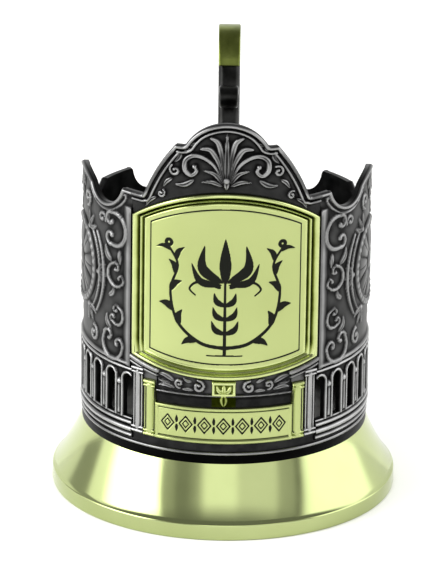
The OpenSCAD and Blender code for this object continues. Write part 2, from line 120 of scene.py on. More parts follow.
# %% Faces between rows of points
def band_faces(rows, count, rows_closed=True, loops_closed=True):
    """Four-sided faces between each row of points and the next, with count points in a row."""
    faces = []
    for i in range(rows if rows_closed else rows - 1):
        here, there = i * count, (i + 1) % rows * count
        for k in range(count if loops_closed else count - 1):
            n = (k + 1) % count
            faces.append([here + k, there + k, there + n, here + n])
    return faces


def turned_over(faces):
    """The same faces seen from the other side."""
    return [[a, d, c, b] for a, b, c, d in faces]


# %% [markdown]
# ## Nodes of a material
# One small helper adds a node, sets it and links it, so a material reads from top to bottom.
# Colours are written as the hex values that a colour picker shows, and one function turns
# them to the linear values that Blender works in.

# %% Helpers for materials
def linear(hex_colour):
    """An sRGB hex colour as linear red, green, blue and alpha."""
    parts = [int(hex_colour[i:i + 2], 16) / 255 for i in (1, 3, 5)]
    return [p / 12.92 if p <= 0.04045 else ((p + 0.055) / 1.055) ** 2.4 for p in parts] + [1.0]


def add(tree, kind, inputs=None, out=0, stops=(), **settings):
    """Adds a node and gives one of its outputs.

    An input is given a value, or another node's output to link. The stops of a colour ramp
    are a place and a hex colour each.
    """
    node = tree.nodes.new(kind)
    for key, value in settings.items():
        setattr(node, key, value)
    for key, value in (inputs or {}).items():
        if isinstance(value, bpy.types.NodeSocket):
            tree.links.new(value, node.inputs[key])
        else:
            node.inputs[key].default_value = value
    for _ in stops[2:]:
        node.color_ramp.elements.new(1.0)
    for i, (place, colour) in enumerate(stops):
        node.color_ramp.elements[i].position = place
        node.color_ramp.elements[i].color = linear(colour)
    return node.outputs[out] if len(node.outputs) else None


def new_material(name):
    """A material without nodes, and its tree."""
    material = bpy.data.materials.new(name)
    material.use_nodes = True
    material.node_tree.nodes.clear()
    return material, material.node_tree


def bare_metal(tree, colour, roughness, texture, strength, depth):
    """Metal whose texture is a very fine bump, so many metres deep; gives its shader."""
    bump = add(tree, "ShaderNodeBump", {
        "Height": texture, "Strength": strength, "Distance": depth})
    return add(tree, "ShaderNodeBsdfPrincipled", {
        "Base Color": colour, "Metallic": 1.0, "Roughness": roughness, "Normal": bump})


# %% [markdown]
# ## Polished brass
# The foot is bare brass, turned and polished, a slightly greenish yellow. Polishing leaves
# fine lines and a light haze, so the eye sees soft-edged reflections with a few duller spots
# from handling. A picture of worn metal could be wrapped round it, but it would show a seam.
# Noise has none: one layer varies the colour and the roughness, and one that is stretched
# level is a very fine bump in the direction of the lathe's tool.

# %% Polished brass
TURNED_BRASS, tree = new_material("turned_polished_brass")
place = add(tree, "ShaderNodeTexCoord", out="Object")
# Hazy patches of about 18 mm
cloud = add(tree, "ShaderNodeTexNoise", {"Vector": place, "Scale": 55.0, "Detail": 3.0})
colour = add(tree, "ShaderNodeValToRGB", {"Fac": cloud}, stops=[(0.3, "#A9B37B"),
                                                                (0.7, "#B2BC84")])
haze = add(tree, "ShaderNodeMapRange", {
    "Value": cloud, "From Min": 0.3, "From Max": 0.7, "To Min": 0.104, "To Max": 0.1625})
# Turning lines run round the foot, drawn about 0.4 mm apart in height so that they show
stretched = add(tree, "ShaderNodeMapping", {"Vector": place, "Scale": (60.0, 60.0, 2500.0)})
lines = add(tree, "ShaderNodeTexNoise", {"Vector": stretched, "Scale": 1.0, "Detail": 4.0})
shader = bare_metal(tree, colour, haze, lines, 0.35, 3e-6)
add(tree, "ShaderNodeOutputMaterial", {"Surface": shader})

# %% [markdown]
# ## Brass with a black inlay
# The front plates were brushed, which gives them an even, soft sheen. The drawing is cut
# into the brass and filled with black enamel, which is satin and mirrors little. The enamel
# could be separate meshes, but strokes as thin as these are simpler as a number on each
# point that says how much enamel lies there: the material turns from metal to enamel where
# it is high.

# %% Brushed brass plate with black enamel
ENAMELLED_BRASS, tree = new_material("brushed_brass_with_black_enamel")
place = add(tree, "ShaderNodeTexCoord", out="Object")
# Faint patches of about 25 mm
cloud = add(tree, "ShaderNodeTexNoise", {"Vector": place, "Scale": 40.0, "Detail": 2.0})
colour = add(tree, "ShaderNodeValToRGB", {"Fac": cloud}, stops=[(0.3, "#A6B073"),
                                                                (0.7, "#AFB97C")])
# Brushing lines run across the plate, drawn about 0.25 mm apart so that they show
stretched = add(tree, "ShaderNodeMapping", {"Vector": place, "Scale": (80.0, 80.0, 4000.0)})
lines = add(tree, "ShaderNodeTexNoise", {"Vector": stretched, "Scale": 1.0, "Detail": 3.0})
brushed = bare_metal(tree, colour, 0.34, lines, 0.4, 5e-6)
enamel = add(tree, "ShaderNodeBsdfPrincipled", {
    "Base Color": linear("#060800"), "Roughness": 0.55, "Specular IOR Level": 0.15})
inlay = add(tree, "ShaderNodeAttribute", out="Fac", attribute_name="inlay")
sharp = add(tree, "ShaderNodeMapRange", {"Value": inlay, "From Min": 0.35, "From Max": 0.65})
shader = add(tree, "ShaderNodeMixShader", {0: sharp, 1: brushed, 2: enamel})
add(tree, "ShaderNodeOutputMaterial", {"Surface": shader})

# %% [markdown]
# ## Rubbed metal
# The ornament is chased nickel silver. It is blackened all over and then rubbed, so black
# stays in the recesses and bare metal shines on the ridges. Blender's Pointiness could find
# the ridges, but it changes with the fineness of the mesh. So each relief mesh keeps a number
# on its points, from 0 in a hollow to 1 on a rubbed ridge, and the colour follows it.
#
# The frame, the clasp and the thumb rest are moulded brass that was rubbed in the same way:
# an olive-brown tarnish stays in the grooves, and the high places are a pale, smooth yellow.

# %% A metal whose colour follows the rubbed value
def rubbed_metal(name, stops, patch_scale, patch_detail, patchy, grain_scale, strength, depth,
                 dull, bright):
    """Metal that is dark and rough in a groove, pale and smooth on a rubbed ridge.

    patchy is how far the patina's patches shift the rubbed value, and dull and bright are the
    roughness in a groove and on a ridge.
    """
    material, tree = new_material(name)
    place = add(tree, "ShaderNodeTexCoord", out="Object")
    patches = add(tree, "ShaderNodeTexNoise", {
        "Vector": place, "Scale": patch_scale, "Detail": patch_detail})
    grain = add(tree, "ShaderNodeTexNoise", {
        "Vector": place, "Scale": grain_scale, "Detail": 2.0})
    # The rubbed value is mostly the patina's wear; on a few pieces it also carries painted
    # highlight and painted shade
    rubbed = add(tree, "ShaderNodeAttribute", out="Fac", attribute_name="rubbed")
    shift = add(tree, "ShaderNodeMapRange", {
        "Value": patches, "From Min": 0.25, "From Max": 0.75, "To Min": -patchy,
        "To Max": patchy})
    level = add(tree, "ShaderNodeMath", {0: rubbed, 1: shift}, operation="ADD")
    colour = add(tree, "ShaderNodeValToRGB", {"Fac": level}, stops=stops)
    gloss = add(tree, "ShaderNodeMapRange", {
        "Value": level, "From Min": 0.1, "From Max": 0.9, "To Min": dull, "To Max": bright})
    shader = bare_metal(tree, colour, gloss, grain, strength, depth)
    add(tree, "ShaderNodeOutputMaterial", {"Surface": shader})
    return material


# Tarnish patches of about 3 mm, and a cast grain of about 0.4 mm
MOULDED_BRASS = rubbed_metal(
    "moulded_brass_with_tarnish",
    [(0.0, "#161B00"), (0.25, "#3A4312"), (0.5, "#788240"), (0.75, "#A7B171"),
     (1.0, "#BDC789")], 330.0, 3.0, 0.08, 2500.0, 0.35, 5e-6, 0.42, 0.17)


# %% Blackened nickel silver, in four degrees of wear
def blackened_nickel(name, places, colours, roughness, depth=8e-6):
    """Nickel silver with patina patches of about 4 mm and a cast grain of about 0.3 mm."""
    return rubbed_metal(name, list(zip(places, colours)), 260.0, 4.0, 0.07, 3200.0, 0.5, depth,
                        roughness * 1.5, roughness * 0.8)


PATINA_STOPS = (0.0, 0.3, 0.5, 0.75, 1.0)
# The crest keeps more of its black, the sides are worn greyer by the hand
CREST_NICKEL = blackened_nickel("chased_nickel_silver_deep_black", PATINA_STOPS,
                                ("#0C0C0C", "#282828", "#383838", "#686868", "#949494"), 0.36)
CHASED_NICKEL = blackened_nickel("chased_nickel_silver_worn_grey", PATINA_STOPS,
                                 ("#121212", "#373737", "#474747", "#626262", "#8A8A8A"), 0.36)
# The arcades and the posts stand out furthest, so their bars are rubbed the brightest
BAR_NICKEL = blackened_nickel("chased_nickel_silver_bright_bars", PATINA_STOPS,
                              ("#0A0A0A", "#262626", "#464646", "#747474", "#A6A6A6"), 0.34)
# The turned ring is black but for a painted highlight on the bead along its edge
RING_NICKEL = blackened_nickel("turned_nickel_silver_black", (0.0, 0.4, 0.7, 1.0),
                               ("#050505", "#0C0C0C", "#555555", "#909090"), 0.3, 4e-6)

# %% [markdown]
# ## Plain metals
# The floor and the rivets are plain nickel silver, a warm pale grey. The sleeve and the
# handle are darkened to a dull black that handling has worn in soft patches. The sleeve's
# black is also painted shade: it is kept this dark so that its inside, seen through the rim
# and the slots, looks shaded. One flat grey would look like plastic, so one noise makes the
# worn patches and a finer one the grain. The four finishes share that tree and differ in
# colour and gloss.

# %% Plain and darkened nickel silver
def plain_nickel(name, light, dark, roughness):
    """Nickel silver with wear in patches of about 3 mm, and a grain of about 0.4 mm."""
    material, tree = new_material(name)
    place = add(tree, "ShaderNodeTexCoord", out="Object")
    wear = add(tree, "ShaderNodeTexNoise", {"Vector": place, "Scale": 300.0, "Detail": 4.0})
    grain = add(tree, "ShaderNodeTexNoise", {"Vector": place, "Scale": 2600.0, "Detail": 2.0})
    colour = add(tree, "ShaderNodeValToRGB", {"Fac": wear}, stops=[(0.35, dark), (0.65, light)])
    haze = add(tree, "ShaderNodeMapRange", {
        "Value": wear, "From Min": 0.3, "From Max": 0.7, "To Min": roughness * 0.85,
        "To Max": roughness * 1.2})
    shader = bare_metal(tree, colour, haze, grain, 0.4, 5e-6)
    add(tree, "ShaderNodeOutputMaterial", {"Surface": shader})
    return material


# The sleeve's near-black is its blackening, and also painted shade for its inside
SLEEVE_NICKEL = plain_nickel("rolled_blackened_nickel_silver_painted_shade", "#2C2C2C", "#1E1E1E", 0.42)
DARK_NICKEL = plain_nickel("cast_darkened_nickel_silver", "#2E2E2D", "#1E1E1D", 0.34)
FLOOR_NICKEL = plain_nickel("spun_nickel_silver", "#9A9A96", "#7C7C79", 0.35)
BRIGHT_NICKEL = plain_nickel("rubbed_nickel_silver", "#A8A8A4", "#7C7C79", 0.28)
print("materials:", len(bpy.data.materials))

# %% [markdown]
# ## A drawing in relief
# A chaser works on a sheet with punches: ridges, volutes, leaves and beads. Such work could
# be sculpted by hand, but then a stroke is hard to measure or to move. Here the sheet is a
# grid of points, and each tool raises the points near its stroke to a rounded height. The
# highest stroke wins where two cross. The grid's lower and upper ends may follow a curve, so
# one sheet can fill the shape between a plate and the figured rim.

# %% The sheet that the relief is drawn on
class Sheet:
    """A grid over the sleeve: how far along, how high, and how much raised, in mm.

    inlay is 1 where enamel fills it, and one more layer adds to the rubbed value, or takes
    from it, for wear and for painted highlight and painted shade.
    The lower and the upper edge are heights, or functions of the distance along.
    """

    def __init__(self, columns, rows, low, top):
        along = np.asarray(columns, float)
        lows, tops = (np.array([edge(a) if callable(edge) else edge for a in along])
                      for edge in (low, top))
        self.along = np.repeat(along[None, :], rows, axis=0)
        self.high = lows + (tops - lows) * np.linspace(0.0, 1.0, rows)[:, None]
        self.raised, self.inlay, self.wear_and_painted_light = (np.zeros_like(self.high) for _ in range(3))

    def near(self, points, reach):
        """The grid points within reach of a box round the given points."""
        lo, hi = points.min(0) - reach, points.max(0) + reach
        return ((self.along >= lo[0]) & (self.along <= hi[0])
                & (self.high >= lo[1]) & (self.high <= hi[1]))


def dome(off):
    """The height of a half round, off being the distance from its middle; both in radii."""
    return np.sqrt(np.clip(1 - np.square(off), 0, 1))


def stroke_parts(sheet, path, widths):
    """For each straight part of a path: the grid points near it, their distance, half width."""
    path = np.asarray(path, float)
    shares = np.linspace(0, 1, len(path))
    half = np.interp(shares, np.linspace(0, 1, len(widths)), widths)
    for a, b, wa, wb in zip(path[:-1], path[1:], half[:-1], half[1:]):
        near = sheet.near(np.array([a, b]), max(wa, wb))
        if not near.any():
            continue
        way = b - a
        s, z = sheet.along[near] - a[0], sheet.high[near] - a[1]
        t = np.clip((s * way[0] + z * way[1]) / max(way @ way, 1e-9), 0, 1)
        yield near, np.hypot(s - t * way[0], z - t * way[1]), wa + (wb - wa) * t


def ridge(sheet, path, widths, height, groove=0.0):
    """Raises a rounded ridge along a path; groove sinks a line down its middle."""
    across, share = np.ones_like(sheet.raised), np.zeros_like(sheet.raised)
    for near, away, half in stroke_parts(sheet, path, widths):
        here = away / np.maximum(half, 1e-6)
        closer = here < across[near]
        across[near] = np.where(closer, here, across[near])
        share[near] = np.where(closer, half / max(widths), share[near])
    rise = height * dome(across) * (0.55 + 0.45 * share)
    rise *= 1 - groove * np.exp(-(across / 0.38) ** 2)
    sheet.raised = np.where(across < 1, np.maximum(sheet.raised, rise), sheet.raised)


def engrave(sheet, path, widths, depth=0.12):
    """Cuts a line into a plate and fills it with enamel."""
    for near, away, half in stroke_parts(sheet, path, widths):
        ink = np.clip((half - away) / 0.16 + 0.5, 0, 1)
        sheet.inlay[near] = np.maximum(sheet.inlay[near], ink)
        sheet.raised[near] = np.minimum(sheet.raised[near], -depth * ink)


# %% Paths for the strokes
def unit(ways):
    """Ways of length one."""
    return ways / np.linalg.norm(ways, axis=-1, keepdims=True)


def left_of(ways):
    """Ways turned a quarter turn to the left."""
    return np.stack([-ways[..., 1], ways[..., 0]], -1)


def around(centre, radius, degrees):
    """The points at the given angles round a centre."""
    turn = np.radians(degrees)
    return np.stack([centre[0] + radius * np.cos(turn), centre[1] + radius * np.sin(turn)], -1)


def smooth_path(points, parts=8):
    """A smooth curve through a few points."""
    points = [np.array(p, float) for p in points]
    last = len(points) - 1
    out = []
    for i in range(last):
        a, b = points[max(i - 1, 0)], points[i]
        c, d = points[i + 1], points[min(i + 2, last)]
        for t in np.linspace(0, 1, parts, endpoint=False):
            out.append(0.5 * (2 * b + (c - a) * t + (2 * a - 5 * b + 4 * c - d) * t * t
                              + (3 * b - a - 3 * c + d) * t ** 3))
    return np.array(out + [points[-1]])


def spiral(centre, radius, start, sweep, end_share=0.22, parts=36):
    """A volute: from its outer end, at start degrees, it winds inwards through sweep."""
    t = np.linspace(0, 1, parts)
    return around(centre, radius * (1 + (end_share - 1) * t ** 0.9), start + sweep * t)


def leaf_path(base, tip, bend):
    """A leaf's middle line, bent sideways by a share of its length."""
    base, tip = np.array(base, float), np.array(tip, float)
    return smooth_path([base, (base + tip) / 2 + left_of(tip - base) * bend, tip])


def turned(points, centre, degrees, flip=1):
    """Points drawn round the origin, flipped if wanted, turned and put at a centre."""
    c, s = math.cos(math.radians(degrees)), math.sin(math.radians(degrees))
    return points * [flip, 1] @ np.array([[c, s], [-s, c]]) + centre


# %% [markdown]
# ## The chaser's vocabulary
# A volute ends in a round eye. A leaf has a raised body with a sunk middle vein. A C-scroll
# is an arc with an eye at each horn. Small meshes of their own would lie on the ground like
# stickers. Strokes in the sheet grow out of it, as chased metal does, and each ornament is
# only a few of them, so it can be laid anywhere.

# %% Volutes, leaves and beads
def bead(sheet, centre, radius, height):
    """A round boss."""
    near = sheet.near(np.array([centre], float), radius)
    away = np.hypot(sheet.along[near] - centre[0], sheet.high[near] - centre[1])
    sheet.raised[near] = np.maximum(sheet.raised[near], height * dome(away / radius))


def volute(sheet, centre, radius, start, sweep, width=0.55, height=0.62):
    """A scroll that winds to an eye, with a line sunk along it."""
    path = spiral(centre, radius, start, sweep)
    ridge(sheet, path, [width * 0.8, width, width * 0.7], height, groove=0.3)
    bead(sheet, path[-1], width * 1.25, height * 1.1)
    return path


def branch(sheet, root, centre, radius, side, turns, width=0.5, height=0.62):
    """A volute that grows from a root: its stem meets the scroll's lowest point smoothly."""
    path = volute(sheet, centre, radius, -90, side * turns, width, height)
    middle = path[0] - [side * radius * 0.7, 0.0]
    ridge(sheet, smooth_path([root, middle, path[0]]), [width * 0.5, width * 0.8], height,
          groove=0.3)


def leaf(sheet, base, tip, width, height=0.55, bend=0.0):
    """A pointed leaf with a middle vein."""
    half = [width * f for f in (0.25, 0.8, 1.0, 0.85, 0.5, 0.08)]
    ridge(sheet, leaf_path(base, tip, bend), half, height, groove=0.55)


def leaves(sheet, side, rows, middle=0.0):
    """Leaves beside a middle line: how far out and how high each starts and ends, and its
    width, height and bend."""
    for out, high, to_out, to_high, width, height, bend in rows:
        leaf(sheet, (middle + side * out, high), (middle + side * to_out, to_high), width,
             height, side * bend)


def c_scroll(sheet, centre, radius, degrees, flip=1, height=0.62):
    """A scroll like a letter C with an eye at each horn."""
    wide = max(0.38, radius * 0.15)
    back = turned(around((0, 0), radius, np.arange(70, 291, 10)), centre, degrees, flip)
    ridge(sheet, back, [wide * 0.7, wide * 1.15, wide * 0.7], height, groove=0.3)
    for sign in (1, -1):
        horn = turned(spiral((radius * 0.34, sign * radius * 0.5), radius * 0.5, sign * 90,
                             -sign * 230, 0.3, 20), centre, degrees, flip)
        ridge(sheet, horn, [wide * 0.75, wide * 0.6], height * 0.95)
        bead(sheet, horn[-1], wide * 1.1, height)


# %% [markdown]
# ## From a drawing to metal
# The finished sheet is wrapped round the sleeve and given a back, so it is a closed skin of
# real thickness. A Solidify modifier would make the back as bumpy as the front, and it has to
# lie evenly on the sleeve. The rubbed value of each point compares its height with the
# blurred height round it: what stands above its neighbours has been rubbed bright.

# %% Wrapping a sheet round the sleeve
FULL_RELIEF, BACK_RUBBED = 0.7, 0.3


def blurred(grid, reach):
    """The mean of each point's neighbours, by running sums along both directions."""
    for axis in (0, 1):
        padded = np.concatenate([
            np.repeat(np.take(grid, [0], axis), reach + 1, axis), grid,
            np.repeat(np.take(grid, [-1], axis), reach, axis)], axis)
        sums = np.cumsum(padded, axis)
        size = grid.shape[axis]
        upper = np.take(sums, range(2 * reach + 1, 2 * reach + 1 + size), axis)
        lower = np.take(sums, range(0, size), axis)
        grid = (upper - lower) / (2 * reach + 1)
    return grid


def rubbed_values(raised, reach=3):
    """0 in a hollow, 1 on a ridge that stands above its neighbours."""
    above = raised - blurred(blurred(raised, reach), reach)
    return np.clip(0.34 + (0.22 * raised + 2.0 * above) / FULL_RELIEF, 0, 1)


def skin_piece(name, sheet, ground_r, material, slot, node, back_r=SLEEVE_R, sharp=60.0):
    """Closes a sheet with a back and walls and makes it a piece."""
    # A row of points at the back's radius is added below the sheet and above it
    ends = ((1, 1), (0, 0))
    radius = np.pad(ground_r + sheet.raised, ends, constant_values=back_r)
    along, high = np.pad(sheet.along, ends, "edge"), np.pad(sheet.high, ends, "edge")
    rubbed = np.clip(rubbed_values(sheet.raised) + sheet.wear_and_painted_light, 0, 1)
    at = np.arange(along.size).reshape(along.shape)
    faces = turned_over(band_faces(*along.shape, loops_closed=False))
    faces += [at[:, 0].tolist(), at[::-1, -1].tolist()]
    make_piece(name, wrap(radius, along, high).reshape(-1, 3), faces, material, slot, node,
               sharp, rubbed=np.pad(rubbed, ends, constant_values=BACK_RUBBED).ravel(),
               inlay=np.pad(sheet.inlay, ends).ravel())


# %% [markdown]
# ## Turned pieces
# The foot, the ring at the sleeve's foot and the floor were spun or turned on a lathe, so
# each is one profile carried round the axis. Blender's Screw modifier does that too. A small
# function is as short, carries the rubbed value along the profile and keeps the first point
# at the front. The profile is a closed loop of points: up the outside, then back down
# inside. A solid disc's profile starts and ends on the axis instead.

# %% Turning a profile
def lathe(profile, steps, poles=False, start=-90.0):
    """Points and faces of a profile of radius and height that is turned round the axis.

    With poles it starts and ends on the axis. Its first place is at the front of the holder.
    """
    ring = np.array(profile[1:-1] if poles else profile, float)
    turn = np.radians(np.linspace(start, start + 360, steps, endpoint=False))[:, None]
    points = np.stack([ring[:, 0] * np.cos(turn), ring[:, 0] * np.sin(turn),
                       ring[:, 1] + 0 * turn], -1).reshape(-1, 3)
    faces = band_faces(steps, len(ring), loops_closed=not poles)
    if poles:
        low = len(points)
        points = np.vstack([points, (0, 0, profile[0][1]), (0, 0, profile[-1][1])])
        for here in range(0, low, len(ring)):
            there, last = (here + len(ring)) % low, len(ring) - 1
            faces += [[low, there, here], [low + 1, here + last, there + last]]
    return points, faces


def turned_piece(name, profile, material, slot, node, sharp, steps=240, poles=False, **values):
    """A turned piece; values has a number for each point of the profile."""
    points, faces = lathe(profile, steps, poles)
    carried = {label: np.tile(numbers, steps) for label, numbers in values.items()}
    make_piece(name, points, faces, material, slot, node, sharp, **carried)


def arc(centre, radius, start, end, parts):
    """Points on a small round, for the edges of a profile."""
    return list(around(centre, radius, np.linspace(start, end, parts)))


# %% [markdown]
# ## The foot
# A bell of sheet brass, spun over a form: it flares from under the sleeve to an upright lip
# with a rolled edge. The wall is 1 mm thick and open below. A few subdivided rings could
# stand for it, but the polished metal mirrors the room, so every error in the flare would
# show: its profile is a true curve. A small round runs where the flare meets the lip,
# because spun metal has no sharp corner.

# %% The spun brass foot
FOOT_R, FOOT_TOP_Z, FOOT_TOP_R, FOOT_LIP_Z, FOOT_WALL = 42.5, 17.2, 35.25, 3.8, 1.0
FLANGE_IN_R, STEP_IN_R = 22.0, 32.0


def flare(t, inset):
    """A point of the flare between the sleeve and the lip, t from 0 to 1."""
    top = np.array([FOOT_TOP_R, FOOT_TOP_Z])
    low = np.array([FOOT_R - 0.6, FOOT_LIP_Z + 0.6])
    bend = top + (low - top) * np.array([0.36, 0.54])
    way = 2 * (1 - t) * (bend - top) + 2 * t * (low - bend)
    at = (1 - t) ** 2 * top + 2 * t * (1 - t) * bend + t * t * low
    return at - left_of(unit(way)) * inset


# The profile is written down the outside and up inside, and is reversed for the lathe
foot_profile = (
    [(FLANGE_IN_R, FOOT_TOP_Z - FOOT_WALL), (FLANGE_IN_R, FOOT_TOP_Z), (STEP_IN_R, FOOT_TOP_Z),
     (STEP_IN_R, FLOOR_Z), (SLEEVE_R, FLOOR_Z), (SLEEVE_R, FOOT_TOP_Z)]
    + [flare(t, 0) for t in np.linspace(0, 1, 28)]
    + arc((FOOT_R - 0.5, FOOT_LIP_Z - 0.1), 0.5, 55, 0, 5)
    + arc((FOOT_R - 0.4, 0.4), 0.4, 0, -90, 5)
    + arc((FOOT_R - 0.6, 0.4), 0.4, -90, -180, 5)
    + [(FOOT_R - FOOT_WALL, FOOT_LIP_Z - 0.3)]
    + [flare(t, FOOT_WALL) for t in np.linspace(1, 0.08, 20)]
    + [(FOOT_TOP_R - FOOT_WALL, FOOT_TOP_Z - FOOT_WALL)])
turned_piece("spun_foot", foot_profile[::-1], TURNED_BRASS, "polished_brass", "foot", 24.0)

# %% [markdown]
# ## The dark ring
# A turned ring covers the joint of sleeve and foot. It is black, and the bead on its upper
# edge is painted bright as a highlight. Ring and bead could be two pieces in two materials.
# One profile with a rubbed value on each of its points is closer to the real ring, and lets
# the painted highlight fade into the black.

# %% The ring at the sleeve's foot
RING_BEAD_Z = 19.4
ring_profile = ([(SLEEVE_R, FOOT_TOP_Z), (FOOT_TOP_R, FOOT_TOP_Z), (FOOT_TOP_R, 18.9),
                 (35.12, 19.15)]
                + arc((35.03, 19.75), 0.42, -75, 90, 9) + [(SLEEVE_R, 20.17)])
# The bead's high value is a painted highlight; the rest of the ring stays black
turned_piece("beaded_ring", ring_profile, RING_NICKEL, "dark_nickel", "base_ring", 40.0,
             rubbed=[0.9 if z > RING_BEAD_Z else 0.1 for _, z in ring_profile])

# %% [markdown]
# ## The outline of the rim
# The rim rises to a tall crest in front, dips in a round notch on each side of it, rises to
# a smaller crest over each side and runs low round the back. It could be traced as one
# curve. Arcs of a few measured circles are how a metalworker sets it out, and one function
# then gives its height at any distance along the sleeve, for every piece that meets it.

# %% The height of the rim
CREST_HALF_W, CREST_HEAD_R, SHOULDER_W, SHOULDER_Z, FLANK_R = 19.8, 11.4, 12.28, 98.5, 44.0
FRONT_RIM_END = 65.5
# The angle, the radius and the height of each round crest, and the same for the notches
ROUND_CRESTS = ((80, 18.0, 84.0), (180, 11.0, 75.9))
ROUND_NOTCHES = ((57.2, 7.2, 86.2), (109.5, 7.2, 77.0), (148, 7.2, 73.0))


def flank_centre():
    """The centre of the flank's arc, through the crest's foot and its shoulder."""
    foot, top = np.array([CREST_HALF_W, FRONT_RIM_Z]), np.array([SHOULDER_W, SHOULDER_Z])
    half = np.linalg.norm(top - foot) / 2
    return (foot + top) / 2 + left_of(unit(top - foot)) * math.sqrt(FLANK_R ** 2 - half ** 2)


FLANK_X, FLANK_Z = flank_centre()


def rim_height(along):
    """The rim's height in mm at a distance along the sleeve from the front."""
    degrees = abs(math.degrees(angle_of(along)))
    x = SLEEVE_R * math.sin(math.radians(min(degrees, 90)))
    z = FRONT_RIM_Z if degrees <= FRONT_RIM_END else BACK_RIM_Z
    if x < CREST_HALF_W:
        flank = FLANK_Z + math.sqrt(max(FLANK_R ** 2 - (x - FLANK_X) ** 2, 0))
        z = max(z, min(flank, SHOULDER_Z))
        if x < CREST_HEAD_R:
            z = max(z, CREST_Z - CREST_HEAD_R + math.sqrt(CREST_HEAD_R ** 2 - x ** 2))
    for centre, radius, top in ROUND_CRESTS:
        off = SLEEVE_R * math.sin(math.radians(degrees - centre))
        if abs(degrees - centre) < 60 and abs(off) < radius and degrees > FRONT_RIM_END:
            z = max(z, top - radius + math.sqrt(radius ** 2 - off ** 2))
    for centre, radius, level in ROUND_NOTCHES:
        off = SLEEVE_R * math.sin(math.radians(degrees - centre))
        if abs(degrees - centre) < 30 and abs(off) < radius:
            z = min(z, level - math.sqrt(radius ** 2 - off ** 2))
    return z


rim = [(a, rim_height(along_at(a))) for a in (0, 20, 32, 57, 80, 110, 125, 148, 180)]
print("rim heights by angle:", [(a, round(z, 1)) for a, z in rim])

# %% [markdown]
# ## The sleeve
# Sheet 0.8 mm thick, rolled to a tube and cut out along the rim, with a gallery of twelve
# slots sawn through low on each side. A boolean could saw them, but it leaves long thin faces
# that shade badly. This grid has columns at each slot's edges and rows that follow the slots'
# round tops, so the holes are cut exactly and both faces stay smooth.

# %% Slots and the sleeve's grid
SLOT_W, SLOT_LOW, SLOT_TOP = 2.9, 26.0, 37.0
SLOT_COUNT, SLOT_FIRST, SLOT_LAST = 12, 41.5, 147.0
SLOT_PITCH = (SLOT_LAST - SLOT_FIRST) / (SLOT_COUNT - 1)
SLOT_SPRING = SLOT_TOP - SLOT_W / 2
slot_places = sorted(along_at(side * (SLOT_FIRST + SLOT_PITCH * i))
                     for side in (-1, 1) for i in range(SLOT_COUNT))
print(len(slot_places), "slots, one every", round(along_at(SLOT_PITCH), 2), "mm on each side")


def slot_distance(along):
    """How far a place is from the nearest slot's middle, along the sleeve."""
    return min(abs(along - place) for place in slot_places)


def slot_top(along):
    """The height of a slot's round top, or of its spring line between the slots."""
    return SLOT_SPRING + SLOT_W / 2 * dome(slot_distance(along) / (SLOT_W / 2))


# %% Columns that meet the slots
def slot_columns(low, high, step):
    """Columns from low to high, with one at each slot's edge and more across a slot."""
    marks = {low, high}
    for place in slot_places:
        across = place + np.linspace(-1, 1, 9) * SLOT_W / 2
        marks.update(at for at in across.tolist() if low < at < high)
    marks = sorted(marks)
    columns = [marks[0]]
    for a, b in zip(marks[:-1], marks[1:]):
        count = max(1, math.ceil((b - a) / step - 1e-6))
        columns += [a + (b - a) * (k + 1) / count for k in range(count)]
    return np.array(columns)


# %% Two skins and the walls between them
def shell_faces(cells, closed=False):
    """Faces of an outer and an inner skin, with a wall wherever the next cell is open.

    cells is true where a grid has metal; the inner skin's points follow the outer skin's.
    """
    rows, wide = cells.shape[0] + 1, cells.shape[1] + (0 if closed else 1)
    half = rows * wide
    solid = np.pad(cells, 1)
    if closed:
        solid[:, 0], solid[:, -1] = solid[:, -2], solid[:, 1]
    faces = []
    for j, i in np.argwhere(cells).tolist():
        n = (i + 1) % wide
        a, b, c, d = j * wide + i, j * wide + n, (j + 1) * wide + n, (j + 1) * wide + i
        faces += [[a, b, c, d], [half + b, half + a, half + d, half + c]]
        for beside, p, q in ((solid[j + 1, i], d, a), (solid[j + 1, i + 2], b, c),
                             (solid[j, i + 1], a, b), (solid[j + 2, i + 1], c, d)):
            if not beside:
                faces.append([q, p, half + p, half + q])
    return faces


# %% A wrapped sheet with the slots left out
def pierced_piece(name, columns, rows, raised, ground_r, back_r, material, node,
                  closed=False, sharp=40.0):
    """A wrapped sheet with a back, walls at every edge, and the slots left out.

    rows gives each column's heights; the rows between the marks low and top hold the slots.
    """
    high, low_mark, top_mark = rows(columns)
    along = np.repeat(columns[None, :], len(high), 0)
    lift = raised(along, high)
    points = np.concatenate([wrap(ground_r + lift, along, high), wrap(back_r, along, high)])
    rubbed = np.concatenate([rubbed_values(lift, 2).ravel(), np.full(lift.size, BACK_RUBBED)])
    cells = np.ones((len(high) - 1, len(columns) - 1), bool)
    middles = (columns[:-1] + columns[1:]) / 2
    cells[low_mark:top_mark, [slot_distance(m) < SLOT_W / 2 for m in middles]] = False
    if closed:
        cells = np.pad(cells, ((0, 0), (0, 1)), constant_values=True)
    # The points inside the slots are on no face and are left out
    used, places = np.unique(np.array(shell_faces(cells, closed)), return_inverse=True)
    make_piece(name, points.reshape(-1, 3)[used], places.reshape(-1, 4).tolist(), material,
               "blackened_nickel", node, sharp, rubbed=rubbed[used])


# %% The pierced sleeve
def sleeve_rows(along):
    """Rows of the sleeve: foot to slots, slots, and slots to rim."""
    tops = np.array([slot_top(a) for a in along])
    rims = np.array([rim_height(a) for a in along])
    return np.stack([np.full_like(along, FLOOR_Z), np.full_like(along, SLOT_LOW), tops,
                     tops + (rims - tops) * 0.5, rims]), 1, 2


sleeve_columns = slot_columns(along_at(-180), along_at(180), 0.6)[:-1]
pierced_piece("rolled_sleeve", sleeve_columns, sleeve_rows, lambda along, high: 0 * along,
              SLEEVE_R, BORE_R, SLEEVE_NICKEL, "sleeve", closed=True)

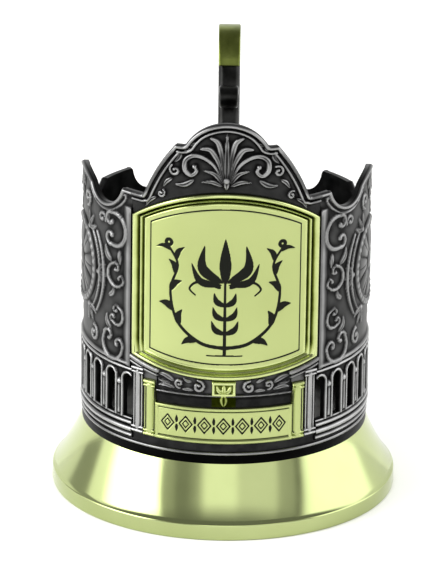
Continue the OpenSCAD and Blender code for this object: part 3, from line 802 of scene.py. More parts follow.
# %% [markdown]
# ## The crest
# The tall front crest carries a fan of petals between two scrolls, inside a double border
# that follows the rim. It fills the sleeve from the front plate's upper edge to the rim. A
# rectangle of relief could be trimmed to that shape, but its edges would be stepped. So the
# sheet's lower end follows the plate and its upper end follows the rim.

# %% Relief on the crest
PLATE_HALF_W, PLATE_LOW_Z, PLATE_H, PLATE_TOP_DROP, PLATE_LOW_RISE = 24.2, 39.0, 48.0, 8.2, 3.9
RELIEF_GROUND_R = SLEEVE_R + 0.25
RELIEF_H = 0.75


def plate_edge(along, upper, inset=0.0):
    """The height of the front plate's upper or lower edge, drawn in by an inset."""
    share = along / PLATE_HALF_W
    if upper:
        return PLATE_LOW_Z + PLATE_H - inset - PLATE_TOP_DROP * share ** 2
    return PLATE_LOW_Z + inset + PLATE_LOW_RISE * share ** 2


def rim_border(sheet, low, high, inset, half_width, height):
    """A moulding that follows the rim, an inset inside it."""
    line = np.array([(a, rim_height(a)) for a in np.arange(low, high, 0.35)])
    inside = line - left_of(unit(np.gradient(line, axis=0))) * inset
    inside[:, 1] = np.minimum(inside[:, 1], line[:, 1] - inset * 0.8)
    ridge(sheet, inside, [half_width], height)


CREST_END = along_at(40.0)
crest = Sheet(np.arange(-CREST_END, CREST_END + 0.01, CREST_END / 116), 110,
              lambda a: plate_edge(a, True) + 0.25, rim_height)
rim_border(crest, -CREST_END - 1, CREST_END + 1, 0.5, 0.5, RELIEF_H)
rim_border(crest, -CREST_END - 1, CREST_END + 1, 1.75, 0.36, RELIEF_H * 0.7)
for side in (-1, 1):
    # The fan: thin petals that bend outwards, the lowest one rolled up to a scroll
    for petal in (((0.6, 90.2), (1.1, 95.6), (2.1, 99.6), (3.8, 100.8)),
                  ((0.8, 90.0), (1.9, 94.6), (3.9, 97.8), (6.2, 98.0))):
        ridge(crest, smooth_path(np.multiply(petal, (side, 1))), [0.22, 0.5, 0.72, 0.62, 0.3],
              0.62, groove=0.4)
    arm = smooth_path(np.multiply([
        (0.9, 89.8), (2.8, 93.6), (5.4, 95.7), (8.0, 96.2), (10.0, 94.8), (10.1, 92.4),
        (8.6, 91.2), (7.3, 92.2), (7.8, 93.4)], (side, 1)))
    ridge(crest, arm, [0.25, 0.45, 0.6, 0.66, 0.5, 0.36], 0.66, groove=0.35)
    bead(crest, arm[-1], 0.62, 0.66)
    # The fan's low leaves, and small leaves and scrolls that fill the flank down to the rim
    leaves(crest, side, (
        (1.0, 89.4, 5.6, 92.6, 0.6, 0.55, 0.16), (1.1, 88.8, 6.0, 89.6, 0.6, 0.5, 0.12),
        (11.0, 97.0, 12.8, 94.0, 0.6, 0.5, -0.1), (9.4, 98.9, 6.6, 100.0, 0.5, 0.5, 0.12),
        (8.0, 90.0, 12.6, 88.4, 0.7, 0.5, -0.12), (13.4, 89.8, 15.6, 87.4, 0.6, 0.5, 0.1),
        (17.6, 84.4, 20.4, 81.6, 0.6, 0.5, 0.1)))
    for out, high, radius, start, sweep, width, height in (
            (12.6, 92.0, 1.5, 120, -380, 0.36, 0.55), (9.8, 98.0, 0.95, 0, 340, 0.3, 0.5),
            (16.2, 85.6, 1.1, 60, 380, 0.32, 0.5)):
        volute(crest, (side * out, high), radius, start, side * sweep, width, height)
leaf(crest, (0, 90.4), (0, 102.2), 0.8, 0.68)
leaf(crest, (0, 90.6), (0, 87.9), 0.8, 0.6)
bead(crest, (0, 90.2), 0.9, 0.72)
skin_piece("chased_crest", crest, RELIEF_GROUND_R, CREST_NICKEL, "blackened_nickel",
           "crest_palmette")

# %% [markdown]
# ## The sides
# Each side is one sheet of scrolls from the front plate to the seam at the back. Next to the
# plate a column of C-scrolls climbs to the rim, and a wreath of long stems and leaves rings
# the round medallion. The left side is the right side's mirror image. A Mirror modifier or a
# negative scale could turn the faces inside out, so the drawing itself is mirrored before it
# is wrapped.

# %% Places on the sides
SIDE_START, SIDE_END, SIDE_LOW_Z = along_at(40.2), along_at(160.0), 39.2
BEVEL_END, BEVEL_W, BEVEL_TOP_Z = along_at(44.2), along_at(4.0), 80.0
MEDALLION_AT, MEDALLION_Z, MEDALLION_R = along_at(82.0), 60.0, 11.4
STEM_AT = along_at(133.2)
print("each side is", round(SIDE_END - SIDE_START, 1), "mm along the sleeve")


# %% Borders and the bevel
def draw_borders(sheet):
    """Mouldings round the side's sheet, and the smooth bevel beside the plate's frame."""
    rim_border(sheet, SIDE_START - 1, SIDE_END + 1, 0.5, 0.5, RELIEF_H)
    rim_border(sheet, along_at(44), SIDE_END + 1, 1.75, 0.3, RELIEF_H * 0.6)
    ridge(sheet, [(SIDE_START, SIDE_LOW_Z + 0.5), (SIDE_END, SIDE_LOW_Z + 0.5)], [0.45],
          RELIEF_H * 0.8)
    ridge(sheet, [(SIDE_END - 0.6, SIDE_LOW_Z), (SIDE_END - 0.6, 72)], [0.5], RELIEF_H * 0.8)
    bevel = (sheet.along < BEVEL_END) & (sheet.high < BEVEL_TOP_Z)
    fall = np.clip((BEVEL_END - sheet.along) / BEVEL_W, 0, 1)
    sheet.raised[bevel] = np.maximum(sheet.raised, 0.12 + 0.5 * fall)[bevel]
    # A band of painted highlight runs along the middle of the bevel's slope
    sheet.wear_and_painted_light[bevel] = (0.5 * np.sin(np.pi * fall) ** 2)[bevel]


# %% The column of C-scrolls
def draw_column(sheet):
    """The column of C-scrolls beside the plate; places along are given as angles."""
    for degrees, high, radius, turn, flip, height in (
            (50.2, 73.0, 4.2, 180, -1, 0.62), (49.2, 61.4, 3.0, 150, 1, 0.62),
            (48.6, 51.0, 2.4, 205, -1, 0.62), (51.2, 43.2, 3.8, -70, -1, 0.66)):
        c_scroll(sheet, (along_at(degrees), high), radius, turn, flip, height)
    leaves(sheet, 1, [(along_at(a), z, along_at(b), to_z, *shape) for a, z, b, to_z, *shape in (
        (47.2, 67.8, 46.6, 64.2, 0.7, 0.55, 0.0), (53.4, 55.6, 50.4, 58.2, 0.7, 0.5, 0.2),
        (52.2, 64.6, 56.2, 68.4, 0.9, 0.55, -0.15), (52.0, 47.0, 55.0, 50.6, 0.8, 0.5, -0.2),
        (54.6, 77.4, 53.2, 74.6, 0.7, 0.5, 0.1))])
    volute(sheet, (along_at(58.6), 74.6), 1.7, 200, -340, 0.45, 0.58)


# %% The wreath round the medallion
def draw_wreath(sheet):
    """Two long bent stems on each side of the medallion, tied by leaves."""
    centre = np.array([MEDALLION_AT, MEDALLION_Z])
    for away, reach, wide in ((15.2, 40, 0.55), (13.2, 46, 0.4)):
        for middle in (180, 0):
            stem = around((0, 0), away, middle + np.arange(-reach, reach + 1, 4))
            ridge(sheet, centre + stem * (1, 1.05), [wide * 0.6, wide, wide * 0.6], 0.62,
                  groove=0.2)
    for turn in (55, 125, 235, 305, 0, 180):
        base = around(centre, 12.4, turn)
        for fan in (-38, 0, 38):
            leaf(sheet, base, around(base, 4.4, turn + fan), 0.75, 0.55, 0.1 * np.sign(fan))
        bead(sheet, base, 0.8, 0.6)
    for side in (-1, 1):
        volute(sheet, (MEDALLION_AT + side * 5.6, 77.2), 2.2, 270, side * 400, 0.5, 0.62)
        volute(sheet, (MEDALLION_AT + side * 10.2, 43.4), 2.2, 90, side * -400, 0.5, 0.6)
        leaf(sheet, (MEDALLION_AT + side * 2.0, 79.0), (MEDALLION_AT, 83.0), 0.8, 0.6)
    leaf(sheet, (MEDALLION_AT, 76.0), (MEDALLION_AT, 82.6), 0.9, 0.66)


# %% The branches behind the medallion
def draw_branches(sheet):
    """Branches that roll up on both sides of an upright stem, on a grid of two columns."""
    ridge(sheet, [(STEM_AT, 41.0), (STEM_AT, 68.0)], [0.6, 0.35], 0.6, groove=0.25)
    leaf(sheet, (STEM_AT, 65.0), (STEM_AT, 70.4), 0.9, 0.62)
    for side in (-1, 1):
        for root, at, high, radius, turns in (
                (0.3, 5.2, 47.2, 3.3, 430), (0.3, 5.0, 57.0, 3.3, 430), (0.3, 4.2, 65.2, 2.3, 400),
                (8.4, 11.8, 51.2, 3.1, 430), (8.2, 11.6, 60.8, 2.8, 430),
                (8.0, 11.6, 43.8, 1.9, 400)):
            branch(sheet, (STEM_AT + side * root, high - radius * 1.1),
                   (STEM_AT + side * at, high), radius, side, turns)
        leaves(sheet, side, [(*ends, 0.75, 0.55, bend) for *ends, bend in (
            (0.8, 44.4, 2.6, 50.6, -0.2), (0.8, 53.6, 1.8, 61.0, 0.15),
            (8.6, 54.4, 8.4, 58.6, 0.2), (8.8, 45.6, 8.6, 50.2, 0.15),
            (13.4, 55.4, 14.6, 58.0, 0.15), (7.6, 62.8, 8.2, 66.4, -0.15),
            (3.6, 41.8, 8.2, 42.2, 0.1))], STEM_AT)


# %% Both sides
def mirrored(sheet):
    """The same sheet for the other side of the sleeve."""
    other = copy.copy(sheet)
    for layer, grid in vars(sheet).items():
        setattr(other, layer, grid[:, ::-1] * (-1 if layer == "along" else 1))
    return other


right_side = Sheet(np.arange(SIDE_START, SIDE_END + 0.01, (SIDE_END - SIDE_START) / 270), 150,
                   SIDE_LOW_Z, rim_height)
for draw in (draw_borders, draw_column, draw_wreath, draw_branches):
    draw(right_side)
for name, sheet in (("right", right_side), ("left", mirrored(right_side))):
    skin_piece(f"{name}_scrollwork", sheet, RELIEF_GROUND_R, CHASED_NICKEL, "blackened_nickel",
               f"{name}_side_relief")

# %% [markdown]
# ## The medallions
# A round boss on each side: a rosette of eight petals in a moulded ring. It could be drawn
# on the side's sheet, but a square grid steps along a thin ring. Here the points lie on rings
# round the middle, so ring and petals stay smooth. It stands on the scrollwork's ground, bent
# with the sleeve.

# %% A rosette on a round grid
RINGS, SPOKES, PETALS, RING_BEADS = 56, 192, 8, 36


def rosette_height(r, turn):
    """Petals with a sunk line between them, a boss in the middle and a beaded ring."""
    petal = np.abs(np.cos(turn * PETALS / 2))
    inner = np.clip(r / 9.6, 0, 1)
    height = 0.55 * np.sqrt(np.clip(np.sin(np.pi * np.clip((inner - 0.2) / 0.78, 0, 1)), 0, 1))
    height = height * np.clip(petal * 1.3 - 0.25 + 0.5 * (1 - inner), 0, 1) ** 0.6
    height -= 0.16 * np.exp(-(np.abs(np.sin(turn * PETALS / 2)) * r / 0.42) ** 2) * (inner < 0.9)
    height = np.where(r < 2.3, 0.62 * dome(r / 2.35) + 0.1, height)
    for middle, half, rise in ((10.35, 0.85, 0.62), (9.3, 0.25, 0.3)):
        height = np.maximum(height, rise * dome((r - middle) / half))
    beads = 0.14 * np.cos(turn * RING_BEADS) * np.exp(-((r - 10.35) / 0.5) ** 2)
    return np.clip(height + beads, 0, None)


def medallion(name, side, node):
    """One medallion, with its petals and ring, closed at the back."""
    r = np.linspace(0, MEDALLION_R, RINGS + 1)[1:, None]
    turn = np.linspace(0, 2 * np.pi, SPOKES, endpoint=False)[None, :]
    raised = rosette_height(r, turn)
    above = raised - blurred(blurred(raised, 3), 3)
    rubbed = np.clip(0.3 + 0.3 * raised / 0.65 + 2.2 * above, 0, 1)
    middle_at = side * MEDALLION_AT
    along, high = middle_at + r * np.cos(turn), MEDALLION_Z + r * np.sin(turn)
    ground = RELIEF_GROUND_R + 0.06
    points = np.vstack([
        wrap(ground + raised, along, high).reshape(-1, 3), wrap(SLEEVE_R, along[-1], high[-1]),
        wrap(ground + 0.72, middle_at, MEDALLION_Z), wrap(SLEEVE_R, middle_at, MEDALLION_Z)])
    edge, middle, behind = RINGS * SPOKES, len(points) - 2, len(points) - 1
    faces = band_faces(RINGS + 1, SPOKES, rows_closed=False)
    for i in range(SPOKES):
        n = (i + 1) % SPOKES
        faces += [[middle, i, n], [behind, edge + n, edge + i]]
    make_piece(name, points, faces, CHASED_NICKEL, "blackened_nickel", node, 50.0,
               rubbed=np.concatenate([rubbed.ravel(), np.full(SPOKES, BACK_RUBBED),
                                      [0.9, BACK_RUBBED]]))


medallion("left_rosette", -1, "left_medallion")
medallion("right_rosette", 1, "right_medallion")

# %% [markdown]
# ## The galleries
# A low arcade runs round each side: a post between every two slots, and a raised arch over
# each slot. Copies of one arch would leave a joint between every two. One height function,
# measured from the nearest slot, shapes the whole strip instead. The strip has the same slots
# as the sleeve behind it, and mouldings along its edges, two of them below it down to the
# dark ring.

# %% The arcades round the slots
GALLERY_LOW_Z, GALLERY_TOP_Z = 20.6, 39.1
# The height, the half width and the rise of each moulding: toe, base, foot, sill and head
MOULDINGS = ((21.3, 0.45, 0.5), (22.9, 0.75, 0.72), (24.6, 0.55, 0.66), (25.6, 0.35, 0.4),
             (38.55, 0.42, 0.6))


def gallery_rows(along):
    """Rows of the strip, with marks at the slots' ends."""
    tops = np.array([slot_top(a) for a in along])
    low = np.linspace(GALLERY_LOW_Z, SLOT_LOW, 22)[:, None] + 0 * along
    mid = SLOT_LOW + (tops - SLOT_LOW) * np.linspace(0, 1, 22)[1:, None]
    top = tops + (GALLERY_TOP_Z - tops) * np.linspace(0, 1, 16)[1:, None]
    return np.vstack([low, mid, top]), 21, 42


def gallery_height(along, high):
    """Mouldings, posts and arches, as a height at each point."""
    off = np.array([slot_distance(a) for a in along[0]])[None, :] * np.ones_like(along)
    reach = np.where(high > SLOT_SPRING, np.hypot(off, high - SLOT_SPRING), off)
    arch = 0.62 * dome((reach - SLOT_W / 2 - 0.42) / 0.44) * (high > SLOT_LOW - 0.4)
    between = np.abs(off - along_at(SLOT_PITCH) / 2)
    post = 0.63 * dome(between / 0.55) * (high > SLOT_LOW) * (high < 33.5)
    knob = 0.75 * dome(np.hypot(between, high - 34.4) / 0.9)
    lines = [rise * dome((high - middle) / half) for middle, half, rise in MOULDINGS]
    return np.maximum.reduce([arch, post, knob, *lines])


for side, name in ((-1, "left"), (1, "right")):
    start, end = sorted((side * along_at(39.4), side * along_at(150.0)))
    pierced_piece(f"{name}_arcade", slot_columns(start, end, 0.28), gallery_rows,
                  gallery_height, RELIEF_GROUND_R, SLEEVE_R, BAR_NICKEL, f"{name}_gallery",
                  sharp=60.0)

# %% [markdown]
# ## The front plate
# A brass plate bent with the sleeve. Its field carries a plain botanical sprig: a flower on
# a stem between two curved, leaved branches. It is engraved and filled with black enamel,
# with one thin line round the field. Colour alone could draw it, but an engraved stroke lies
# deeper than the metal, so the strokes also sink the mesh a little.

# %% The engraved sprig
FRAME_SIDE_W, FRAME_TOP_W = 4.3, 3.1
SPRIG_Z = 61.0


def solid_leaf(sheet, base, tip, width, bend=0.0):
    """A leaf filled with enamel."""
    engrave(sheet, leaf_path(base, tip, bend),
            [width * f for f in (0.12, 0.75, 1.0, 0.8, 0.4, 0.05)])


plate_in_w = PLATE_HALF_W - FRAME_SIDE_W
plate = Sheet(np.linspace(-plate_in_w, plate_in_w, 237), 236,
              lambda a: plate_edge(a, False, FRAME_TOP_W - 0.1),
              lambda a: plate_edge(a, True, FRAME_TOP_W - 0.1))
line_w = plate_in_w - 1.1
field_line = [(a, plate_edge(a, upper, FRAME_TOP_W + 1.0)) for upper, end in (
    (False, line_w), (True, -line_w)) for a in np.linspace(-end, end, 30)]
engrave(plate, field_line + field_line[:1], [0.2])
engrave(plate, [(0, SPRIG_Z - 15.2), (0, SPRIG_Z + 3.4)], [0.42, 0.3])
for side in (-1, 1):
    # The flower: two outer petals and an inner one on each side of the middle
    solid_leaf(plate, (side * 0.6, SPRIG_Z + 3.2), (side * 5.0, SPRIG_Z + 12.6), 1.35,
               -0.28 * side)
    solid_leaf(plate, (side * 0.9, SPRIG_Z + 2.6), (side * 8.2, SPRIG_Z + 8.0), 1.0,
               -0.26 * side)
    engrave(plate, smooth_path(np.multiply([(1.4, 2.0), (6.4, 3.2), (8.6, 1.4), (7.2, -0.2)],
                                           (side, 1)) + (0, SPRIG_Z)), [0.42, 0.3, 0.2])
    # The branch: a long curve from the root, ending in a curl, with leaves along it
    twig = smooth_path(np.multiply([(0.3, -13.6), (6.0, -12.4), (11.6, -7.4), (13.4, 0.4),
                                    (11.6, 7.0), (13.8, 11.4)], (side, 1)) + (0, SPRIG_Z))
    engrave(plate, twig, [0.5, 0.36, 0.3])
    for place, out, wide in ((9, 1, 0.9), (15, -1, 0.95), (19, 1, 0.95), (24, -1, 0.9),
                             (29, 1, 0.85), (34, -1, 0.75), (38, 1, 0.6)):
        way = unit(twig[place] - twig[place - 1])
        tip = twig[place] + way * 2.6 - left_of(way) * side * out * 3.0
        solid_leaf(plate, twig[place], tip, wide, 0.18 * side * out)
    for k, z in enumerate((-10.0, -6.4, -2.8)):
        solid_leaf(plate, (0, SPRIG_Z + z), (side * (3.2 - 0.3 * k), SPRIG_Z + z + 3.4), 0.8,
                   -0.2 * side)
    engrave(plate, around((side * 13.9, SPRIG_Z + 12.6), 0.7, np.linspace(0, 360, 25)), [0.45])
solid_leaf(plate, (0, SPRIG_Z + 3.0), (0, SPRIG_Z + 14.4), 1.5)
engrave(plate, [(-4.2, SPRIG_Z - 15.6), (4.2, SPRIG_Z - 15.6)], [0.2, 0.5, 0.2])
skin_piece("engraved_plate", plate, SLEEVE_R + 0.6, ENAMELLED_BRASS, "polished_brass",
           "front_plate", sharp=70.0)

# %% [markdown]
# ## The plate's frame
# The plate is held by a moulded brass frame: from outside a broad round ridge, then a bead
# and a narrow inner edge with a tarnished hollow before each. A curve with a bevel could
# carry that profile, but it gets narrower at a sharp corner. Here each line of the profile is
# the plate's outline, drawn in a little further. So the profile is the same along all four
# sides, meets in mitres at the corners, and the frame is one closed strip.

# %% The moulded frame
# Share of the frame's width from outside, height, and how rubbed it is
# The low values at the foot of the frame's walls are painted shadow along its edges
FRAME_PROFILE = [
    (0.0, 0.0, 0.2), (0.0, 0.45, 0.5), (0.03, 0.8, 0.85), (0.08, 1.02, 1.0),
    (0.16, 1.14, 1.0), (0.25, 1.12, 0.9), (0.32, 0.94, 0.8), (0.37, 0.68, 0.45),
    (0.41, 0.42, 0.1), (0.46, 0.3, 0.0), (0.51, 0.42, 0.15), (0.55, 0.68, 0.7),
    (0.6, 0.8, 1.0), (0.65, 0.7, 0.8), (0.7, 0.42, 0.2), (0.75, 0.28, 0.0),
    (0.8, 0.34, 0.15), (0.84, 0.55, 0.6), (0.9, 0.66, 1.0), (0.96, 0.65, 0.9),
    (1.0, 0.6, 0.8), (1.0, 0.0, 0.2)]


def frame_outline(inset_side, inset_end):
    """The four edges of the frame, drawn in by an inset, as one closed loop."""
    half = PLATE_HALF_W - inset_side
    low = [(a, plate_edge(a, False, inset_end)) for a in np.linspace(-half, half, 64)]
    top = [(a, plate_edge(a, True, inset_end)) for a in np.linspace(half, -half, 64)]
    right = [(half, z) for z in np.linspace(low[-1][1], top[0][1], 12)[1:-1]]
    left = [(-half, z) for z in np.linspace(top[-1][1], low[0][1], 12)[1:-1]]
    return np.array(low + right + top + left)


frame_points = np.stack([
    wrap(SLEEVE_R + height, *frame_outline(FRAME_SIDE_W * share, FRAME_TOP_W * share).T)
    for share, height, _ in FRAME_PROFILE])
frame_faces = turned_over(band_faces(*frame_points.shape[:2]))
# The lower edge is drawn lighter, so less dark stays in its grooves
frame_rubbed = np.array([rubbed for *_, rubbed in FRAME_PROFILE])[:, None]
lower_edge = frame_points[..., 2] < PLATE_LOW_Z + PLATE_LOW_RISE + FRAME_TOP_W
make_piece("moulded_frame", frame_points.reshape(-1, 3), frame_faces, MOULDED_BRASS,
           "polished_brass", "plate_frame", 50.0,
           rubbed=np.clip(frame_rubbed + 0.6 * lower_edge, 0, 1).ravel())

# %% [markdown]
# ## The strip under the plate
# Between the two plates a strip of volutes and leaves spreads from the middle, over a band
# that is darkened to black as painted shade, and a small brass clasp covers its centre.
# The strip's upper edge follows the front plate to its corners, with a moulding over the
# posts. It is drawn as the crest is. Where its lower edge steps up over the posts it could
# be cut, but two columns that stand close together make the step without a cut.

# %% Volutes under the plate
SPRAY_LOW_Z, SPRAY_TOP_Z, SPRAY_HALF_W, BAND_TOP_Z = 32.1, 38.6, 16.8, 34.9
# Beyond the middle part the strip ends above the brass posts, then above the nickel ones
POST_INNER, POST_OUTER, OVER_BRASS_Z, OVER_NICKEL_Z = 20.5, 24.5, 37.3, 39.9
# Where a sheet's edge steps up or down, two columns stand this close
STEP = 0.05


def strip_low(along):
    """The strip's lower edge, which steps up over the posts."""
    if abs(along) <= SPRAY_HALF_W:
        return SPRAY_LOW_Z
    return OVER_BRASS_Z if abs(along) <= POST_INNER else OVER_NICKEL_Z


outer_columns = np.concatenate([np.linspace(SPRAY_HALF_W + STEP, POST_INNER, 18),
                                np.linspace(POST_INNER + STEP, POST_OUTER, 18)])
spray = Sheet(np.concatenate([-outer_columns[::-1],
                              np.linspace(-SPRAY_HALF_W, SPRAY_HALF_W, 150), outer_columns]),
              54, strip_low, lambda a: plate_edge(a, False) - 0.3)
# Below the band's top the strip is darkened: this is painted shade
spray.wear_and_painted_light = np.where(spray.high < BAND_TOP_Z, -0.26, 0.08)
spray.wear_and_painted_light[np.abs(spray.along) > SPRAY_HALF_W] = 0.3
for side in (-1, 1):
    for below, half, rise in ((1.0, 0.7, 0.7), (2.2, 0.35, 0.5)):
        ridge(spray, [(side * a, plate_edge(a, False) - below)
                      for a in np.linspace(SPRAY_HALF_W, POST_OUTER, 12)], [half], rise)
    volute(spray, (side * 6.2, 37.1), 1.6, 90, side * 400, 0.42, 0.62)
    volute(spray, (side * 10.9, 37.5), 1.2, 270, side * 380, 0.36, 0.58)
    leaves(spray, side, (
        (7.6, 36.0, 10.2, 35.9, 0.5, 0.5, 0.1), (8.0, 38.2, 9.9, 38.9, 0.45, 0.5, 0.1 * side),
        (12.2, 36.2, 16.4, 36.4, 0.6, 0.55, 0.1), (12.4, 38.0, 16.6, 39.4, 0.7, 0.55, 0.1),
        (13.4, 37.2, 16.8, 37.9, 0.45, 0.5, 0.0)))
ridge(spray, [(-SPRAY_HALF_W, BAND_TOP_Z), (SPRAY_HALF_W, BAND_TOP_Z)], [0.3], 0.5)
skin_piece("volute_strip", spray, RELIEF_GROUND_R, CHASED_NICKEL, "blackened_nickel",
           "lower_spray")

# %% The clasp: a framed field with a small palmette, and a leaf that hangs from it
clasp = Sheet(np.linspace(-2.9, 2.9, 48), 56, SPRAY_LOW_Z, SPRAY_TOP_Z + 0.2)
# The clasp's lower part, with the hanging leaf, is darkened as painted shade; above it is drawn
# lighter
clasp.wear_and_painted_light = np.where(clasp.high < BAND_TOP_Z, -0.3, 0.28)
ridge(clasp, [(-2.5, 38.2), (2.5, 38.2)], [0.45], 0.4)
ridge(clasp, [(-2.5, 35.3), (2.5, 35.3)], [0.4], 0.4)
for side in (-1, 1):
    ridge(clasp, [(side * 2.5, 35.3), (side * 2.5, 38.2)], [0.35], 0.4)
    leaf(clasp, (0, 35.8), (side * 1.7, 37.6), 0.55, 0.4, -0.2 * side)
leaf(clasp, (0, 35.7), (0, 38.0), 0.55, 0.45)
leaf(clasp, (0, 34.9), (0, 32.4), 1.0, 0.6)
skin_piece("leaf_clasp", clasp, RELIEF_GROUND_R + 0.35, MOULDED_BRASS, "polished_brass",
           "plate_clasp", back_r=RELIEF_GROUND_R)

# %% [markdown]
# ## The small plate
# A small brass plate with a raised edge sits under the large one, and its ends are moulded
# as round posts that reach up beside the strip. A row of outlined lozenges, with small
# leaves between them, is engraved along its field. Posts and plate could be three pieces.
# One sheet makes them together, as if stamped at once, with no joint to hide.

# %% The small plate with its posts
NAME_HALF_W, NAME_LOW_Z, NAME_H = 20.2, 22.5, 9.2
FIELD_HALF_W, END_TOP_Z = 17.1, 37.2
NAME_MIDDLE_Z = NAME_LOW_Z + NAME_H / 2
end_columns = np.linspace(FIELD_HALF_W + STEP, NAME_HALF_W, 30)
name_plate = Sheet(
    np.concatenate([-end_columns[::-1], np.linspace(-FIELD_HALF_W, FIELD_HALF_W, 210),
                    end_columns]),
    84, NAME_LOW_Z, lambda a: NAME_LOW_Z + NAME_H if abs(a) <= FIELD_HALF_W else END_TOP_Z)
# The field's raised edge
edge_in = np.minimum(FIELD_HALF_W - np.abs(name_plate.along),
                     NAME_H / 2 - np.abs(name_plate.high - NAME_MIDDLE_Z))
name_plate.raised = 0.36 * dome((edge_in - 0.42) / 0.46)
# The posts at its ends: a round shaft with a base and a cap, between two black enamel lines
# that are painted shade beside the shaft
for side in (-1, 1):
    middle = side * (FIELD_HALF_W + NAME_HALF_W) / 2
    ridge(name_plate, [(middle, NAME_LOW_Z + 1.5), (middle, END_TOP_Z - 1.5)], [0.95], 0.6)
    for off in (-1.2, 1.2):
        engrave(name_plate, [(middle + off, NAME_LOW_Z + 1.8), (middle + off, END_TOP_Z - 1.8)],
                [0.16])
    for z, half in ((0.55, 0.5), (1.5, 0.35)):
        for at in (NAME_LOW_Z + z, END_TOP_Z - z):
            ridge(name_plate, [(side * (FIELD_HALF_W + 0.3), at), (side * NAME_HALF_W, at)],
                  [half], 0.6)
# A dark line inside the raised edge, above and below the row
for side in (-1, 1):
    at = NAME_MIDDLE_Z + side * (NAME_H / 2 - 1.05)
    engrave(name_plate, [(-FIELD_HALF_W + 0.9, at), (FIELD_HALF_W - 0.9, at)], [0.13])

# %% The row of lozenges
LOZENGE_PITCH = 4.6
lozenge_places = LOZENGE_PITCH * np.arange(-3, 4)
for at in lozenge_places:
    for size, pen in ((2.0, 0.2), (0.95, 0.16)):
        tips = around((0, 0), size, np.arange(180, -181, -90)) * (0.8, 1) + (at, NAME_MIDDLE_Z)
        engrave(name_plate, tips, [pen])
for at in lozenge_places[:-1] + LOZENGE_PITCH / 2:
    for up in (-1, 1):
        solid_leaf(name_plate, (at, NAME_MIDDLE_Z + up * 0.2), (at, NAME_MIDDLE_Z + up * 2.2),
                   0.42)
skin_piece("small_plate", name_plate, SLEEVE_R + 0.54, ENAMELLED_BRASS, "polished_brass",
           "name_plate", sharp=70.0)

# %% [markdown]
# ## The posts
# A nickel post stands outside each end of the small plate, where the gallery begins: a
# shaft between two fillets, with a moulded base and cap. A lathe could turn it, but only its
# front half exists and that is bent with the sleeve, so it is drawn in relief.

# %% Nickel posts
CONSOLE_AT, CONSOLE_HALF_W = 22.2 * WRAP_R / SLEEVE_R, 1.7
CONSOLE_LOW_Z, CONSOLE_TOP_Z = 22.5, 39.8
for side, name in ((-1, "left"), (1, "right")):
    middle = side * CONSOLE_AT
    start, end = middle - CONSOLE_HALF_W, middle + CONSOLE_HALF_W
    post = Sheet(np.linspace(start, end, 42), 96, CONSOLE_LOW_Z, CONSOLE_TOP_Z)
    for off, half, rise in ((0.0, 0.8, 0.75), (-1.15, 0.25, 0.45), (1.15, 0.25, 0.45)):
        ridge(post, [(middle + off, CONSOLE_LOW_Z + 1.4), (middle + off, CONSOLE_TOP_Z - 1.4)],
              [half], rise)
    for z, half, rise in ((0.5, 0.5, 0.8), (1.5, 0.4, 0.7)):
        for at in (CONSOLE_LOW_Z + z, CONSOLE_TOP_Z - z):
            ridge(post, [(start, at), (end, at)], [half], rise)
    post.wear_and_painted_light += 0.25
    skin_piece(f"{name}_post", post, SLEEVE_R + 0.05, BAR_NICKEL, "bright_nickel",
               f"{name}_console")

# %% [markdown]
# ## The floor and the seam
# The floor is a spun disc with turned rings. A bump in its material could stand for them, but
# the bump is lost from low down, so the rings are in the profile. The seam at the back is
# covered by a plain strip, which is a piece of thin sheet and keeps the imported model's shape.

# %% The floor, with its turned rings
FLOOR_R, FLOOR_T, GROOVE_PITCH, GROOVE_DEPTH = 31.9, 0.8, 1.6, 0.06
grooves = [(r, FLOOR_Z - GROOVE_DEPTH * (0.5 + 0.5 * math.cos(r / GROOVE_PITCH * 2 * math.pi)))
           for r in np.arange(0.4, FLOOR_R - 0.4, 0.2)]
floor_profile = ([(0.0, FLOOR_Z - FLOOR_T), (FLOOR_R, FLOOR_Z - FLOOR_T),
                  (FLOOR_R, FLOOR_Z - 0.1), (FLOOR_R - 0.1, FLOOR_Z)]
                 + grooves[::-1] + [(0.0, FLOOR_Z - GROOVE_DEPTH)])
turned_piece("turned_floor", floor_profile, FLOOR_NICKEL, "plain_nickel", "floor_disc", 30.0,
             160, poles=True)
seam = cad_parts["seam_strip"]
seam.data.materials.clear()
seam.data.materials.append(SLEEVE_NICKEL)

# %% [markdown]
# ## The handle
# The ear handle was cast: a strap that rises from the upper pad, turns over and runs down
# and back to the lower pad, with a curl above and one below. It stands in the middle plane,
# so its side view is a flat path. A Blender curve with a bevel could follow it. A section of
# its own, with rounded corners, can also get thinner on the way, which the strap and the
# curls do. The curls are volutes that spring from the strap's outer side.

# %% The handle's path
HANDLE_REACH, HANDLE_LOW_Z, HANDLE_H = 41.0, 30.0, 64.1
HANDLE_W, STRAP_W, THUMB_T = 5.6, 5.0, 1.4
# Shares of the reach and of the height, from the upper pad over the top to the lower pad
HANDLE_MARKS = ((0.01, 0.50), (0.13, 0.57), (0.30, 0.72), (0.44, 0.88), (0.61, 0.995),
                (0.81, 0.96), (0.95, 0.81), (1.00, 0.58), (0.93, 0.34), (0.74, 0.14),
                (0.42, 0.02), (0.13, 0.00), (0.01, 0.02))
handle_path = smooth_path(np.multiply(HANDLE_MARKS, (HANDLE_REACH, HANDLE_H))
                          + (SLEEVE_R, HANDLE_LOW_Z), 16)
strap_length = np.linalg.norm(np.diff(handle_path, axis=0), axis=1).sum()
print("the strap is", round(float(strap_length), 1), "mm long")


def handle_mark(share):
    """The number of the path's point at a share of its length."""
    return round(share * (len(handle_path) - 1))


